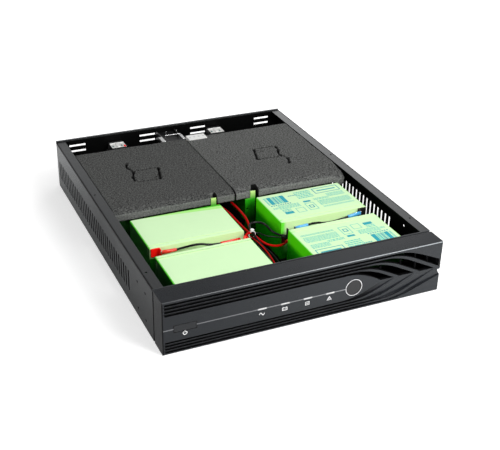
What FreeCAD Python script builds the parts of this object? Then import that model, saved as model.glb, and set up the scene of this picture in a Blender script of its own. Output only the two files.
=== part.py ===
import FreeCAD
import Part
import math
import os
import re

import Sketcher

# Rack battery pack with the cover off. X runs along the front, Y to the back, Z up, in millimetres.
# The origin is under the middle of the case. Sizes sit in one sheet and drive every piece.

SIZES = {
    # case
    "width": 440.0,
    "height": 84.0,
    "depth": 565.0,
    "sheet": 1.2,
    "flange": 16.0,
    "slot_first": 146.0,
    "slot_pitch": 11.8,
    "slot_count": 35,
    "slot_wide": 6.0,
    "slot_low": 20.0,
    "slot_high": 54.6,
    "ear_hole": 2.2,
    "ear_first": 69.0,
    "ear_along": 35.0,
    "ear_low": 14.2,
    "ear_up": 44.45,
    "cover_hole": 1.8,
    "cover_first": 82.0,
    "cover_along": 256.0,
    "cover_inset": 6.5,
    "back_slot_wide": 30.0,
    "back_slot_high": 4.8,
    "back_slot_low": 59.9,
    "back_slot_step": 10.7,
    "back_slot_near": 50.0,
    "back_slot_far": 182.0,
    "vent_left": 116.0,
    "vent_wide": 102.0,
    "vent_low": 38.0,
    "vent_high": 38.0,
    "pass_wide": 26.0,
    # bezel
    "bezel_depth": 33.0,
    "bezel_wall": 4.5,
    "bezel_face": 6.0,
    "bezel_round": 1.6,
    "neck": 4.0,
    "neck_inset": 2.5,
    "groove_deep": 3.5,
    "groove_end": 3.5,
    "upper_top": 80.4,
    "upper_pitch": 5.35,
    "upper_groove": 3.55,
    "lower_top": 20.2,
    "lower_pitch": 4.87,
    "lower_groove": 3.1,
    "meet_upper": 41.3,
    "meet_lower": 40.2,
    "bend": 22.0,
    "rake": 0.52,
    "rake_first": 0.445,
    "rake_last": 0.586,
    "rake_scoop": 0.48,
    "rake_sill": 0.36,
    "scoop_fade": 0.35,
    "scoop_knee": 12.0,
    "boss_long": 8.0,
    "boss_round": 3.0,
    # front controls
    "strip_level": 39.2,
    "strip_high": 1.6,
    "strip_deep": 1.2,
    "window_wide": 15.6,
    "window_high": 2.4,
    "window_first": -73.8,
    "window_pitch": 35.6,
    "button_left": 16.7,
    "button_wide": 32.2,
    "button_low": 34.1,
    "button_high": 10.0,
    "button_round": 1.8,
    "button_gap": 0.6,
    "button_lip": 2.0,
    "badge_at": 71.8,
    "badge_radius": 13.5,
    "badge_band": 1.6,
    "badge_deep": 1.5,
    # batteries
    "battery_long": 151.0,
    "battery_high": 94.0,
    "battery_thick": 65.0,
    "battery_round": 2.0,
    "lid_high": 7.5,
    "seam_wide": 1.0,
    "seam_deep": 0.6,
    "mat_thick": 6.7,
    "channel": 63.0,
    "row_front": 42.0,
    "row_gap": 24.0,
    "group_gap": 24.0,
    "block_wide": 14.0,
    "block_out": 9.0,
    "block_high": 13.0,
    "block_drop": 0.6,
    "block_step": 1.0,
    "block_face": 2.0,
    "block_cheek": 1.4,
    # foam
    "foam_thick": 11.1,
    "foam_side": 203.0,
    "foam_front": 266.0,
    "foam_flat": 22.0,
    "foam_back": 500.0,
    "foam_sag": 7.5,
    "foam_seam": 0.3,
    "foam_slit": 1.1,
    # metal fittings
    "plate": 1.5,
    "post_at": 268.0,
    "post_wide": 9.0,
    "post_foot": 12.0,
    # leads
    "lead": 4.2,
    "thin_lead": 2.0,
    "lead_seat": 0.4,
    "sleeve_long": 23.0,
    "sleeve_deep": 5.0,
    "sleeve_high": 6.5,
}

doc = FreeCAD.newDocument("battery_pack")
dims = doc.addObject("Spreadsheet::Sheet", "Dims")
for row, (alias, number) in enumerate(SIZES.items(), start=1):
    dims.set("A%d" % row, alias)
    dims.set("B%d" % row, str(number))
    dims.setAlias("B%d" % row, alias)
doc.recompute()

PARTS = []


# Helpers that tie a size or a place to the sheet

def bound(text):
    """Put the sheet's name before every alias in a formula."""
    def with_sheet(word):
        name = word.group(0)
        return "Dims." + name if name in SIZES else name
    return re.sub(r"[a-z_]+", with_sheet, text)


def value(text):
    return float(dims.evalExpression(bound(text)))


def place(item, at):
    for axis, text in zip("xyz", at):
        item.setExpression("Placement.Base." + axis, bound(text))


def size(item, **formulas):
    for name, text in formulas.items():
        item.setExpression(name, bound(text))


def box(name, lengths, at, body=None, kind="Part::Box"):
    item = body.newObject(kind, name) if body else doc.addObject(kind, name)
    size(item, Length=lengths[0], Width=lengths[1], Height=lengths[2])
    place(item, at)
    return item


TURNS = {
    "x": FreeCAD.Rotation(FreeCAD.Vector(0, 1, 0), 90),
    "y": FreeCAD.Rotation(FreeCAD.Vector(1, 0, 0), -90),
    "z": FreeCAD.Rotation(),
}


def round_bar(name, radius, length, at, axis, body=None, kind="Part::Cylinder"):
    item = body.newObject(kind, name) if body else doc.addObject(kind, name)
    item.Placement = FreeCAD.Placement(FreeCAD.Vector(), TURNS[axis])
    size(item, Radius=radius, Height=length)
    place(item, at)
    return item


def joined(name, items):
    item = doc.addObject("Part::MultiFuse", name)
    item.Shapes = items
    item.Refine = True
    return item


def cut(name, base, tools):
    item = doc.addObject("Part::Cut", name)
    item.Base = base
    item.Tool = tools[0] if len(tools) == 1 else joined(name + "_tools", tools)
    item.Refine = True
    return item


def soft_edges(name, base, radius, chosen):
    """Round the edges of a plain block that the test picks out."""
    doc.recompute()
    item = doc.addObject("Part::Fillet", name)
    item.Base = base
    number = value(radius)
    item.Edges = [(i, number, number) for i, edge in enumerate(base.Shape.Edges, start=1) if chosen(edge)]
    return item


def along(axis):
    index = "xyz".index(axis)

    def test(edge):
        ends = [vertex.Point for vertex in edge.Vertexes]
        span = ends[1] - ends[0]
        return abs(abs(span[index]) - span.Length) < 1e-6
    return test


def outline(name, plane, at, points):
    """A closed sketch whose corners are all measured from its own corner of the sheet."""
    item = doc.addObject("Sketcher::SketchObject", name)
    turn = {
        "front": FreeCAD.Rotation(FreeCAD.Vector(1, 0, 0), 90),
        "side": FreeCAD.Rotation(FreeCAD.Vector(1, 1, 1), 120),
    }[plane]
    item.Placement = FreeCAD.Placement(FreeCAD.Vector(), turn)
    place(item, at)
    spots = [FreeCAD.Vector(value(p), value(q), 0) for p, q in points]
    count = len(spots)
    for i in range(count):
        item.addGeometry(Part.LineSegment(spots[i], spots[(i + 1) % count]), False)
    for i in range(count):
        item.addConstraint(Sketcher.Constraint("Coincident", i, 2, (i + 1) % count, 1))
    for i, (p, q) in enumerate(points):
        level = item.addConstraint(Sketcher.Constraint("DistanceX", -1, 1, i, 1, spots[i].x))
        item.setExpression("Constraints[%d]" % level, bound(p))
        rise = item.addConstraint(Sketcher.Constraint("DistanceY", -1, 1, i, 1, spots[i].y))
        item.setExpression("Constraints[%d]" % rise, bound(q))
    return item


def pushed(name, sketch, direction, length):
    item = doc.addObject("Part::Extrusion", name)
    item.Base = sketch
    item.DirMode = "Custom"
    item.Dir = FreeCAD.Vector(*direction)
    item.setExpression("LengthFwd", bound(length))
    item.Solid = True
    return item


def keep(item):
    item.Label = item.Name
    PARTS.append(item)
    return item


FRONT = "-depth/2"
CASE_FRONT = "-depth/2 + bezel_depth + neck"
CASE_LONG = "depth - bezel_depth - neck"


# Chassis tray: one folded sheet with floor, walls, top flanges, vent slots and screw holes

tray = doc.addObject("PartDesign::Body", "chassis_tray")
ADD = "PartDesign::AdditiveBox"
TAKE = "PartDesign::SubtractiveBox"
DRILL = "PartDesign::SubtractiveCylinder"
box("tray_block", ("width", CASE_LONG, "height"), ("-width/2", CASE_FRONT, "0"), tray, ADD)
box("tray_hollow", ("width - 2*sheet", CASE_LONG + " - 2*sheet", "height - 2*sheet"),
    ("-width/2 + sheet", CASE_FRONT + " + sheet", "sheet"), tray, TAKE)
box("tray_mouth", ("width - 2*flange", CASE_LONG + " - 2*sheet", "4*sheet"),
    ("-width/2 + flange", CASE_FRONT + " + sheet", "height - 2*sheet"), tray, TAKE)
box("front_vent", ("vent_wide", "6*sheet", "vent_high"),
    ("width/2 - vent_left", CASE_FRONT + " - 2*sheet", "vent_low"), tray, TAKE)
box("front_pass", ("pass_wide", "6*sheet", "pass_wide"),
    ("-channel/2 - pass_wide/4", CASE_FRONT + " - 2*sheet", "height - 2*pass_wide/1.7"), tray, TAKE)
BACK_SLOTS = (("a", "-back_slot_far"), ("b", "-back_slot_near"),
              ("c", "back_slot_near"), ("d", "back_slot_far"))
for side, middle in BACK_SLOTS:
    for step in (0, 1):
        low_z = "back_slot_low + %d*back_slot_step" % step
        box("back_slot_%s%d" % (side, step), ("back_slot_wide", "6*sheet", "back_slot_high"),
            (middle + " - back_slot_wide/2", "depth/2 - 3*sheet", low_z), tray, TAKE)
CONNECTORS = (("left", "-112"), ("right", "80"))
CONNECTOR_WIDE = "1.9*block_wide"
CONNECTOR_HIGH = "25"
CONNECTOR_LOW = "45"
for side, middle in CONNECTORS:
    box("connector_hole_" + side, (CONNECTOR_WIDE + " + 0.4", "6*sheet", CONNECTOR_HIGH + " + 0.4"),
        (middle + " - 0.95*block_wide - 0.2", "depth/2 - 3*sheet", CONNECTOR_LOW + " - 0.2"), tray, TAKE)
for i in (0, 1):
    for k in (0, 1):
        round_bar("ear_hole_%d%d" % (i, k), "ear_hole", "width + 10",
                  ("-width/2 - 5", FRONT + " + ear_first + %d*ear_along" % i, "ear_low + %d*ear_up" % k),
                  "x", tray, DRILL)
for k, edge in enumerate(("-width/2 + cover_inset", "width/2 - cover_inset")):
    for i in (0, 1):
        round_bar("cover_hole_%d%d" % (k, i), "cover_hole", "5*sheet",
                  (edge, FRONT + " + cover_first + %d*cover_along" % i, "height - 3*sheet"), "z", tray, DRILL)
back_axis = [feature for feature in tray.Origin.OriginFeatures if feature.Role == "Y_Axis"][0]


def slot_row(first):
    """Repeat one cut along both side walls."""
    doc.recompute()
    row = tray.newObject("PartDesign::LinearPattern", first.Name + "_row")
    row.Originals = [first]
    row.Direction = (back_axis, [""])
    size(row, Length="slot_pitch*(slot_count - 1)", Occurrences="slot_count")
    tray.Tip = row
    doc.recompute()


SLOT_AT = FRONT + " + slot_first"
slot_row(box("slot_middle", ("width + 10", "slot_wide", "slot_high - slot_low - slot_wide"),
             ("-width/2 - 5", SLOT_AT + " - slot_wide/2", "slot_low + slot_wide/2"), tray, TAKE))
for end_name, end_z in (("foot", "slot_low + slot_wide/2"), ("head", "slot_high - slot_wide/2")):
    slot_row(round_bar("slot_" + end_name, "slot_wide/2", "width + 10",
                       ("-width/2 - 5", SLOT_AT, end_z), "x", tray, DRILL))
keep(tray)


# Front bezel: moulded shell with level grooves, louvre slots, closed scoops and openings for the controls

shell_box = box("bezel_block", ("width", "bezel_depth", "height"), ("-width/2", FRONT, "0"))
shell = soft_edges("bezel_shell", shell_box, "bezel_round",
                   lambda edge: all(abs(v.Point.y + value("depth/2")) < 1e-6 for v in edge.Vertexes))
rim = box("bezel_rim", ("width - 2*neck_inset", "neck + 1", "height - 2*neck_inset"),
          ("-width/2 + neck_inset", FRONT + " + bezel_depth - 1", "neck_inset"))
hollow = box("bezel_hollow", ("width - 2*bezel_wall", "bezel_depth + neck", "height - 2*bezel_wall"),
             ("-width/2 + bezel_wall", FRONT + " + bezel_face", "bezel_wall"))
bosses = []
BOSS_SPOTS = (("window_first - 20", "strip_level + 14"), ("window_first - 20", "strip_level - 14"),
              ("window_first + 3.6*window_pitch", "strip_level + 14"),
              ("window_first + 3.6*window_pitch", "strip_level - 14"))
for k, (along_x, level) in enumerate(BOSS_SPOTS):
    bosses.append(round_bar("board_boss_%d" % k, "boss_round", "boss_long + 1",
                            (along_x, FRONT + " + bezel_face - 1", level), "y"))
body_shell = joined("bezel_body", [cut("bezel_open", joined("bezel_outer", [shell, rim]), [hollow])] + bosses)

# Each edge of a louvre or scoop is level, bends, then runs straight to the meeting line.
# It meets that line so far past the right end of the bezel, at that slope.
upper_edges = {}
for k in range(4):
    top = "upper_top - %d*upper_pitch" % k
    upper_edges["t%d" % k] = top
    upper_edges["b%d" % k] = top + " - upper_groove"
UPPER_HITS = {"t0": (28.4, "rake_first"), "b0": (-0.5, "rake"), "t1": (-11.0, "rake"),
              "b1": (-36.4, "rake"), "t2": (-46.4, "rake"), "b2": (-72.0, "rake"),
              "t3": (-81.0, "rake"), "b3": (-103.6, "rake_last")}
LOWER_HITS = {"t0": (-103.6, "rake_scoop"), "b0": (-81.0, "rake_scoop"), "t1": (-72.0, "rake_scoop"),
              "b1": (-46.4, "rake_scoop"), "t2": (-36.4, "rake_scoop"), "b2": (-11.0, "rake_scoop"),
              "t3": (-0.5, "rake_scoop"), "b3": (34.0, "rake_sill")}
STEPS = (0.0, 0.2, 0.4, 0.6, 0.8, 1.0)


def bent_edge(level, hit, slope, meet, sign):
    """Corner of the bend, then points along the bend and the end on the meeting line."""
    rise = "(%s)" % (level + " - " + meet if sign < 0 else meet + " - (" + level + ")")
    corner = "width + %s - %s/%s" % (hit, rise, slope)
    points = []
    for s in STEPS:
        across = "%s + bend*%.2f" % (corner, 2 * s - 1)
        points.append((across, "%s + %d*%s*bend*%.3f" % (level, sign, slope, s * s)))
    points.append(("width + %s" % hit, meet))
    return corner, points


def bent_slot(name, above, below, at):
    corner_a, edge_a = above
    corner_b, edge_b = below
    start = corner_a if value(corner_a) < value(corner_b) else corner_b
    lead_in = start + " - bend - 1"
    ring = [(lead_in, edge_a[0][1])] + edge_a + edge_b[::-1] + [(lead_in, edge_b[0][1])]
    return outline(name, "front", at, ring), start


cutters = []
CORNER = ("-width/2", FRONT + " - 1", "0")
for k in range(4):
    above = bent_edge(upper_edges["t%d" % k], *UPPER_HITS["t%d" % k], "meet_upper", -1)
    below = bent_edge(upper_edges["b%d" % k], *UPPER_HITS["b%d" % k], "meet_upper", -1)
    sketch, start = bent_slot("louvre_outline_%d" % k, above, below, CORNER)
    deep = "bezel_depth/2" if k == 0 else "bezel_face + 2"
    cutters.append(pushed("louvre_%d" % k, sketch, (0, 1, 0), deep))
    cutters.append(box("upper_groove_%d" % k,
                       (start + " - bend - groove_end", "groove_deep + 1", "upper_groove"),
                       ("-width/2 + groove_end", FRONT + " - 1", upper_edges["b%d" % k])))
scoops = []
for k in range(4):
    top = "lower_top - %d*lower_pitch" % k
    above = bent_edge(top, *LOWER_HITS["t%d" % k], "meet_lower", 1)
    below = bent_edge(top + " - lower_groove", *LOWER_HITS["b%d" % k], "meet_lower", 1)
    sketch, start = bent_slot("scoop_outline_%d" % k, above, below, CORNER)
    scoops.append(pushed("scoop_%d" % k, sketch, (0, 1, 0), "bezel_face"))
    cutters.append(box("lower_groove_%d" % k,
                       (start + " - bend - groove_end", "groove_deep + 1", "lower_groove"),
                       ("-width/2 + groove_end", FRONT + " - 1", top + " - lower_groove")))
fade = outline("scoop_fade_outline", "side", ("-width/2", FRONT + " - 2", "-1"),
               [("0.5", "0.5"), ("groove_deep + 2", "0.5"), ("groove_deep + 2", "scoop_knee + 1"),
                ("scoop_fade + 2", "meet_lower + 1.5"), ("0.5", "meet_lower + 1.5")])
faded = doc.addObject("Part::Common", "scoops_faded")
faded.Base = joined("scoops", scoops)
faded.Tool = pushed("scoop_floor", fade, (1, 0, 0), "width + 2")
cutters.append(faded)
notch = outline("end_notch_outline", "front", CORNER,
                [("width - 5.8", "meet_lower - 3.4"), ("width + 2", "meet_lower - 2.6"),
                 ("width + 2", "meet_lower - 15"), ("width - 1.6", "meet_lower - 10")])
cutters.append(pushed("end_notch", notch, (0, 1, 0), "bezel_depth/2"))
cutters.append(soft_edges("button_hole", box("button_hole_block",
               ("button_wide + 2*button_gap", "bezel_face + 2", "button_high + 2*button_gap"),
               ("-width/2 + button_left - button_gap", FRONT + " - 1", "button_low - button_gap")),
               "button_round + button_gap", along("y")))
BADGE_LEFT = "width/2 + badge_at - badge_radius - 0.2"
STRIP_LOW = "strip_level - strip_high/2"
WINDOW_LOW = "strip_level - window_high/2"
cutters.append(box("strip_channel", (BADGE_LEFT + " + 2", "strip_deep + 1", "strip_high"),
                   ("-width/2", FRONT + " - 1", STRIP_LOW)))
for k in range(4):
    cutters.append(box("window_hole_%d" % k, ("window_wide", "strip_deep + 1", "window_high"),
                       ("window_first + %d*window_pitch - window_wide/2" % k, FRONT + " - 1",
                        "strip_level - window_high/2")))
cutters.append(round_bar("badge_seat", "badge_radius + 0.2", "badge_deep + 1",
                         ("badge_at", FRONT + " - 1", "strip_level"), "y"))
grille = cut("bezel_grille", body_shell, cutters)
webs = []
WEBS = (("45", "69.2", "11.5"), ("23", "58.6", "13.2"), ("70", "65.4", "15"), ("43.6", "51.7", "15"),
        ("103.6", "61.9", "12"))
for k, (web_x, web_z, web_high) in enumerate(WEBS):
    web_low = web_z + " - " + web_high + "/2"
    webs.append(box("louvre_web_%d" % k, ("2", "bezel_face - groove_deep", web_high),
                    ("width/2 - " + web_x + " - 1", FRONT + " + groove_deep", web_low)))
liner = box("end_liner", ("bezel_wall/2", "bezel_depth/2", "height - 2*bezel_wall"),
            ("width/2 - bezel_wall", FRONT + " + groove_deep", "bezel_wall"))
keep(joined("front_bezel", [grille, liner] + webs))


# Light strip in two lengths, either side of the button; the long one carries the four windows

BUTTON_RIGHT = "button_left + button_wide + button_gap"
keep(box("light_strip_left", ("button_left - button_gap - bezel_round", "strip_deep", "strip_high"),
         ("-width/2 + bezel_round", FRONT, STRIP_LOW)))
bar = box("strip_bar", (BADGE_LEFT + " - (" + BUTTON_RIGHT + ")", "strip_deep", "strip_high"),
          ("-width/2 + " + BUTTON_RIGHT, FRONT, STRIP_LOW))
windows = [box("strip_window_%d" % k, ("window_wide", "strip_deep", "window_high"),
               ("window_first + %d*window_pitch - window_wide/2" % k, FRONT, WINDOW_LOW))
           for k in range(4)]
keep(joined("light_strip_right", [bar] + windows))


# Power button: moulded cap with a lip behind the panel and a stem for the switch

cap = soft_edges("button_cap", box("button_block", ("button_wide", "bezel_face + 0.3", "button_high"),
                 ("-width/2 + button_left", FRONT, "button_low")), "button_round", along("y"))
lip = box("button_flange", ("button_wide + 2*button_lip", "1.2", "button_high + 2*button_lip"),
          ("-width/2 + button_left - button_lip", FRONT + " + bezel_face + 0.05", "button_low - button_lip"))
stem = round_bar("button_stem", "2", "2.4", ("-width/2 + button_left + button_wide/2",
                 FRONT + " + bezel_face + 0.2", "button_low + button_high/2"), "y")
keep(joined("power_button", [cap, lip, stem]))


# Badge: bare disc in a pale ring

ring = round_bar("badge_rim", "badge_radius", "badge_deep", ("badge_at", FRONT, "strip_level"), "y")
hole = round_bar("badge_hole", "badge_radius - badge_band", "badge_deep + 2",
                 ("badge_at", FRONT + " - 1", "strip_level"), "y")
keep(cut("badge_ring", ring, [hole]))
keep(round_bar("badge_disc", "badge_radius - badge_band - 0.1", "badge_deep - 0.4",
               ("badge_at", FRONT + " + 0.4", "strip_level"), "y"))


# Board behind the panel with the button's switch and four lamps

BOARD_FRONT = FRONT + " + bezel_face + boss_long"
board = box("board_plate", ("window_first + 4*window_pitch + width/2 - button_left + 8.7", "1.6", "40"),
            ("-width/2 + button_left - 4", BOARD_FRONT, "strip_level - 20"))
lamps = [box("lamp_%d" % k, ("5", "5.1", "3"),
             ("window_first + %d*window_pitch - 2.5" % k, BOARD_FRONT + " - 5",
              "strip_level - 1.5"))
         for k in range(4)]
switch = box("switch", ("7", "4.1", "7"), ("-width/2 + button_left + button_wide/2 - 3.5",
             BOARD_FRONT + " - 4", "button_low + button_high/2 - 3.5"))
keep(joined("light_board", [board, switch] + lamps))


# Mats and batteries: two columns, a front and a rear pair in each, terminal faces across the gap

ROWS = {"a": "row_front", "b": "row_front + battery_high + row_gap",
        "c": "row_front + 2*battery_high + row_gap + group_gap",
        "d": "row_front + 3*battery_high + 2*row_gap + group_gap"}
BED = "sheet + mat_thick"
COLUMNS = {"left": "-channel/2 - battery_long", "right": "channel/2"}
for side, low_x in COLUMNS.items():
    for group, first_row in (("front", "a"), ("rear", "c")):
        keep(box("battery_mat_%s_%s" % (group, side),
                 ("battery_long", "2*battery_high + row_gap", "mat_thick"),
                 (low_x, FRONT + " + " + ROWS[first_row], "sheet")))


def battery(name, low_x, low_y, faces_back):
    """Sealed case with its lid seam, on its large side."""
    body_long = "battery_high - lid_high - seam_wide"
    start = "0" if faces_back else "lid_high + seam_wide"
    seam = body_long if faces_back else "lid_high"
    lid = "battery_high - lid_high" if faces_back else "0"
    case = soft_edges(name + "_case", box(name + "_case_block", ("battery_long", body_long, "battery_thick"),
                      (low_x, low_y + " + " + start, BED)), "battery_round", along("y"))
    lid_part = soft_edges(name + "_lid", box(name + "_lid_block",
                          ("battery_long", "lid_high", "battery_thick"),
                          (low_x, low_y + " + " + lid, BED)), "battery_round", along("y"))
    neck = box(name + "_neck", ("battery_long - 2*seam_deep", "seam_wide", "battery_thick - 2*seam_deep"),
               (low_x + " + seam_deep", low_y + " + " + seam, BED + " + seam_deep"))
    return keep(joined(name, [case, neck, lid_part]))


def terminal(name, low_x, face_y, low_z, faces_back, cheeks):
    """Plate on the lid with a cheek at each end that a lead comes to."""
    plate_y = face_y if faces_back else face_y + " - block_face"
    cheek_y = face_y if faces_back else face_y + " - block_out"
    pieces = [box(name + "_plate", ("block_wide", "block_face", "block_high"), (low_x, plate_y, low_z))]
    for end in cheeks:
        cheek_x = low_x if end == "left" else low_x + " + block_wide - block_cheek"
        pieces.append(box(name + "_cheek_" + end, ("block_cheek", "block_out", "block_high"),
                          (cheek_x, cheek_y, low_z)))
    return keep(joined(name, pieces))


HIGH_BLOCK = BED + " + battery_thick - block_drop - block_high"
LOW_BLOCK = BED + " + battery_thick/2 - block_high/6"
for row_name, row_y in ROWS.items():
    faces_back = row_name in "ac"
    for side, low_x in COLUMNS.items():
        name = "battery_%s_%s" % (row_name, side)
        low_y = FRONT + " + " + row_y
        battery(name, low_x, low_y, faces_back)
        face_y = low_y + " + battery_high" if faces_back else low_y
        left_end = low_x + " + 1.5"
        right_end = low_x + " + battery_long - 1.5 - block_wide"
        outer, inner = (left_end, right_end) if side == "left" else (right_end, left_end)
        high_x, low_end = (inner, outer) if faces_back else (outer, inner)
        drop = " - block_step" if faces_back else ""
        inward = "right" if side == "left" else "left"
        high_cheeks = ("left", "right") if faces_back else (inward,)
        terminal("terminal_high_%s_%s" % (row_name, side), high_x, face_y, HIGH_BLOCK + drop,
                 faces_back, high_cheeks)
        terminal("terminal_low_%s_%s" % (row_name, side), low_end, face_y, LOW_BLOCK, faces_back, (inward,))


# Foam pads: flat on the rear batteries, the front edge sagging, a notch for the post and a slit at the seam

TOP = BED + " + battery_thick"
SAG = ((0.0, 1.0), (0.2, 0.64), (0.4, 0.36), (0.6, 0.16), (0.8, 0.04), (1.0, 0.0))
profile = []
for along_y, fall in SAG:
    profile.append(("foam_front + %.2f*foam_flat" % along_y,
                    TOP + " + foam_thick - %.2f*foam_sag" % fall))
profile.append(("foam_back", TOP + " + foam_thick"))
profile.append(("foam_back", TOP))
UNDER = "row_front + 2*battery_high + row_gap + group_gap - 0.5"
for along_y, fall in reversed(SAG):
    profile.append(("foam_front + %.2f*(%s - foam_front)" % (along_y, UNDER),
                    TOP + " - %.2f*foam_sag" % fall))
LAST_ROW = "row_front + 4*battery_high + 2*row_gap + group_gap"
POSTS = {"left": "-42", "right": "27"}
BLOCK_AT = ("6", "34", "20")
for side, low_x in (("left", "-foam_side"), ("right", "foam_seam")):
    sketch = outline("foam_outline_" + side, "side", (low_x, FRONT, "0"), profile)
    slab = pushed("foam_slab_" + side, sketch, (1, 0, 0), "foam_side - foam_seam")
    slit_x = "-foam_slit" if side == "left" else "0"
    tools = [box("foam_slit_" + side, ("foam_slit", "foam_flat", "40"),
                 (slit_x, FRONT + " + foam_front - 2", TOP + " - 20"))]
    post_x = POSTS[side]
    wide = "post_wide + %d" % (2 if side == "left" else 5)
    notch_y = "post_at + plate - foam_front"
    tools.append(box("post_notch_" + side, (wide, notch_y + " + 5", "40"),
                     (post_x + " - 0.6", FRONT + " + foam_front - 2", TOP + " - 20")))
    notch_at = (post_x + " - 0.6 + (" + wide + ")/2", FRONT + " + post_at + plate + 3", TOP + " - 20")
    tools.append(round_bar("post_notch_end_" + side, "(" + wide + ")/2", "40", notch_at, "z"))
    if side == "right":
        tools.append(box("block_notch", (BLOCK_AT[1] + " + " + BLOCK_AT[0] + " + 1", "30", "40"),
                         ("foam_seam - 1", FRONT + " + " + LAST_ROW + " - 1", TOP + " - 5")))
    keep(cut("foam_pad_" + side, slab, tools))


# Stop posts: folded bright strips on the floor in front of the rear batteries

for side, low_x in POSTS.items():
    tall = "height - sheet - 6"
    upright = box("post_strip_" + side, ("post_wide", "plate", tall), (low_x, FRONT + " + post_at", "sheet"))
    foot_x = low_x if side == "left" else low_x + " - 8.5"
    foot_wide = "post_wide" if side == "left" else "post_wide + 8.5"
    foot = box("post_foot_" + side, (foot_wide, "post_foot", "plate"),
               (foot_x, FRONT + " + post_at + plate - post_foot", "sheet"))
    pieces = [upright, foot]
    if side == "right":
        pieces.append(box("post_wing_" + side, (foot_wide, "plate", "height*0.77"),
                          (foot_x, FRONT + " + post_at", "sheet")))
    post = joined("post_folded_" + side, pieces)
    eye = round_bar("post_eye_" + side, "2", "plate + 4",
                    (low_x + (" + 4" if side == "left" else " - 4.5"), FRONT + " + post_at - 2", "48"), "y")
    keep(cut("stop_post_" + side, post, [eye]))


# Rear bay: breaker in its bracket, white junction block and two panel connectors

INNER_BACK = "depth/2 - sheet"
BREAKER_LEFT = "-33"
BREAKER_WIDE = "33"
BREAKER_RIGHT = BREAKER_LEFT + " + " + BREAKER_WIDE
BRACKET_FRONT = INNER_BACK + " - 56"
BRACKET_WIDE = BREAKER_WIDE + " + 2*plate"
CHEEK = ("plate", "52", "height - sheet - 4")
EAR_LOW = "height - 4 - plate"
keep(box("breaker", (BREAKER_WIDE, "50", "46"), (BREAKER_LEFT, INNER_BACK + " - 50", "28")))
keep(joined("breaker_bracket", [
    box("cheek_left", CHEEK, (BREAKER_LEFT + " - plate", BRACKET_FRONT, "sheet")),
    box("cheek_right", CHEEK, (BREAKER_RIGHT, BRACKET_FRONT, "sheet")),
    box("ear_left", ("6.5", "22", "plate"), (BREAKER_LEFT + " - 6.5", BRACKET_FRONT, EAR_LOW)),
    box("ear_right", ("5", "22", "plate"), (BREAKER_RIGHT, BRACKET_FRONT, EAR_LOW)),
    box("bracket_base", (BRACKET_WIDE, "52", "plate"), (BREAKER_LEFT + " - plate", BRACKET_FRONT, "sheet")),
    box("bracket_bridge", (BRACKET_WIDE, "plate", "8"), (BREAKER_LEFT + " - plate", BRACKET_FRONT, "64"))]))
keep(box("junction_block", (BLOCK_AT[1], BLOCK_AT[2], "24"),
         (BLOCK_AT[0], FRONT + " + " + LAST_ROW, TOP + " + foam_thick - 24")))
for side, middle in CONNECTORS:
    housing = box("connector_body_" + side, (CONNECTOR_WIDE, "30", CONNECTOR_HIGH),
                  (middle + " - 0.95*block_wide", "depth/2 - 30", CONNECTOR_LOW))
    plate = box("connector_plate_" + side, (CONNECTOR_WIDE + " + 6", "3", CONNECTOR_HIGH + "/2 + 4"),
                (middle + " - 0.95*block_wide - 3", INNER_BACK + " - 3", CONNECTOR_LOW + " - 4"))
    pockets = [box("connector_pocket_%s%d" % (side, k), ("8.6", "14", "15"),
                   (middle + " - 11.1 + %d*13.6" % k, "depth/2 - 12", CONNECTOR_LOW + " + 5")) for k in (0, 1)]
    keep(cut("rear_connector_" + side, joined("connector_solid_" + side, [housing, plate]), pockets))


# Spade sleeves beside the terminal blocks that the links join

def sleeve(name, low_x, low_y, low_z):
    block = box(name + "_block", ("sleeve_long", "sleeve_deep", "sleeve_high"), (low_x, low_y, low_z))
    return keep(soft_edges(name, block, "1.5", along("x")))


GAP_FRONT = FRONT + " + row_front + battery_high"
GAP_BACK = FRONT + " + row_front + battery_high + row_gap"
OUTER = "channel/2 + battery_long - 1.5 - block_wide"
INNER = "channel/2 + 1.5 + block_wide"
BACK_Y = GAP_BACK + " - block_out - sleeve_deep/2"
FRONT_Y = GAP_FRONT + " + block_out - sleeve_deep/2"
BACK_Z = HIGH_BLOCK + " + block_high - sleeve_high - 0.5"
FRONT_Z = HIGH_BLOCK + " - block_step + block_high - sleeve_high - 0.5"
sleeve("sleeve_red_back", "-(" + OUTER + ")", BACK_Y, BACK_Z)
sleeve("sleeve_red_front", "-(" + INNER + ") - sleeve_long", FRONT_Y, FRONT_Z)
sleeve("sleeve_blue_back", OUTER + " - sleeve_long", BACK_Y, BACK_Z)
sleeve("sleeve_blue_front", INNER, FRONT_Y, FRONT_Z)


# Leads: straight runs joined by arcs that touch them, swept by a round section

def tube(name, thick, points):
    spots = [FreeCAD.Vector(*p) for p in points]
    edges = []
    tight = 1e9
    start = spots[0]
    for i in range(1, len(spots) - 1):
        come = spots[i] - spots[i - 1]
        leave = spots[i + 1] - spots[i]
        trim = 0.45 * min(come.Length, leave.Length)
        come.normalize()
        leave.normalize()
        half = come.getAngle(leave) / 2
        radius = trim / math.tan(half)
        tight = min(tight, radius)
        side = leave - come
        side.normalize()
        first = spots[i] - come * trim
        last = spots[i] + leave * trim
        middle = spots[i] + side * (radius / math.cos(half) - radius)
        edges.append(Part.LineSegment(start, first).toShape())
        edges.append(Part.Arc(first, middle, last).toShape())
        start = last
    edges.append(Part.LineSegment(start, spots[-1]).toShape())
    path = Part.Wire(edges)
    circle = Part.Wire([Part.makeCircle(thick / 2, spots[0], spots[1] - spots[0])])
    item = doc.addObject("Part::Feature", name)
    item.Shape = path.makePipeShell([circle], True, False)
    wanted = math.pi * thick * thick / 4 * path.Length
    ratio = item.Shape.Volume / wanted
    print("%s: length %.1f, tightest radius %.1f, volume ratio %.4f" % (name, path.Length, tight, ratio))
    return keep(item)


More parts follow.
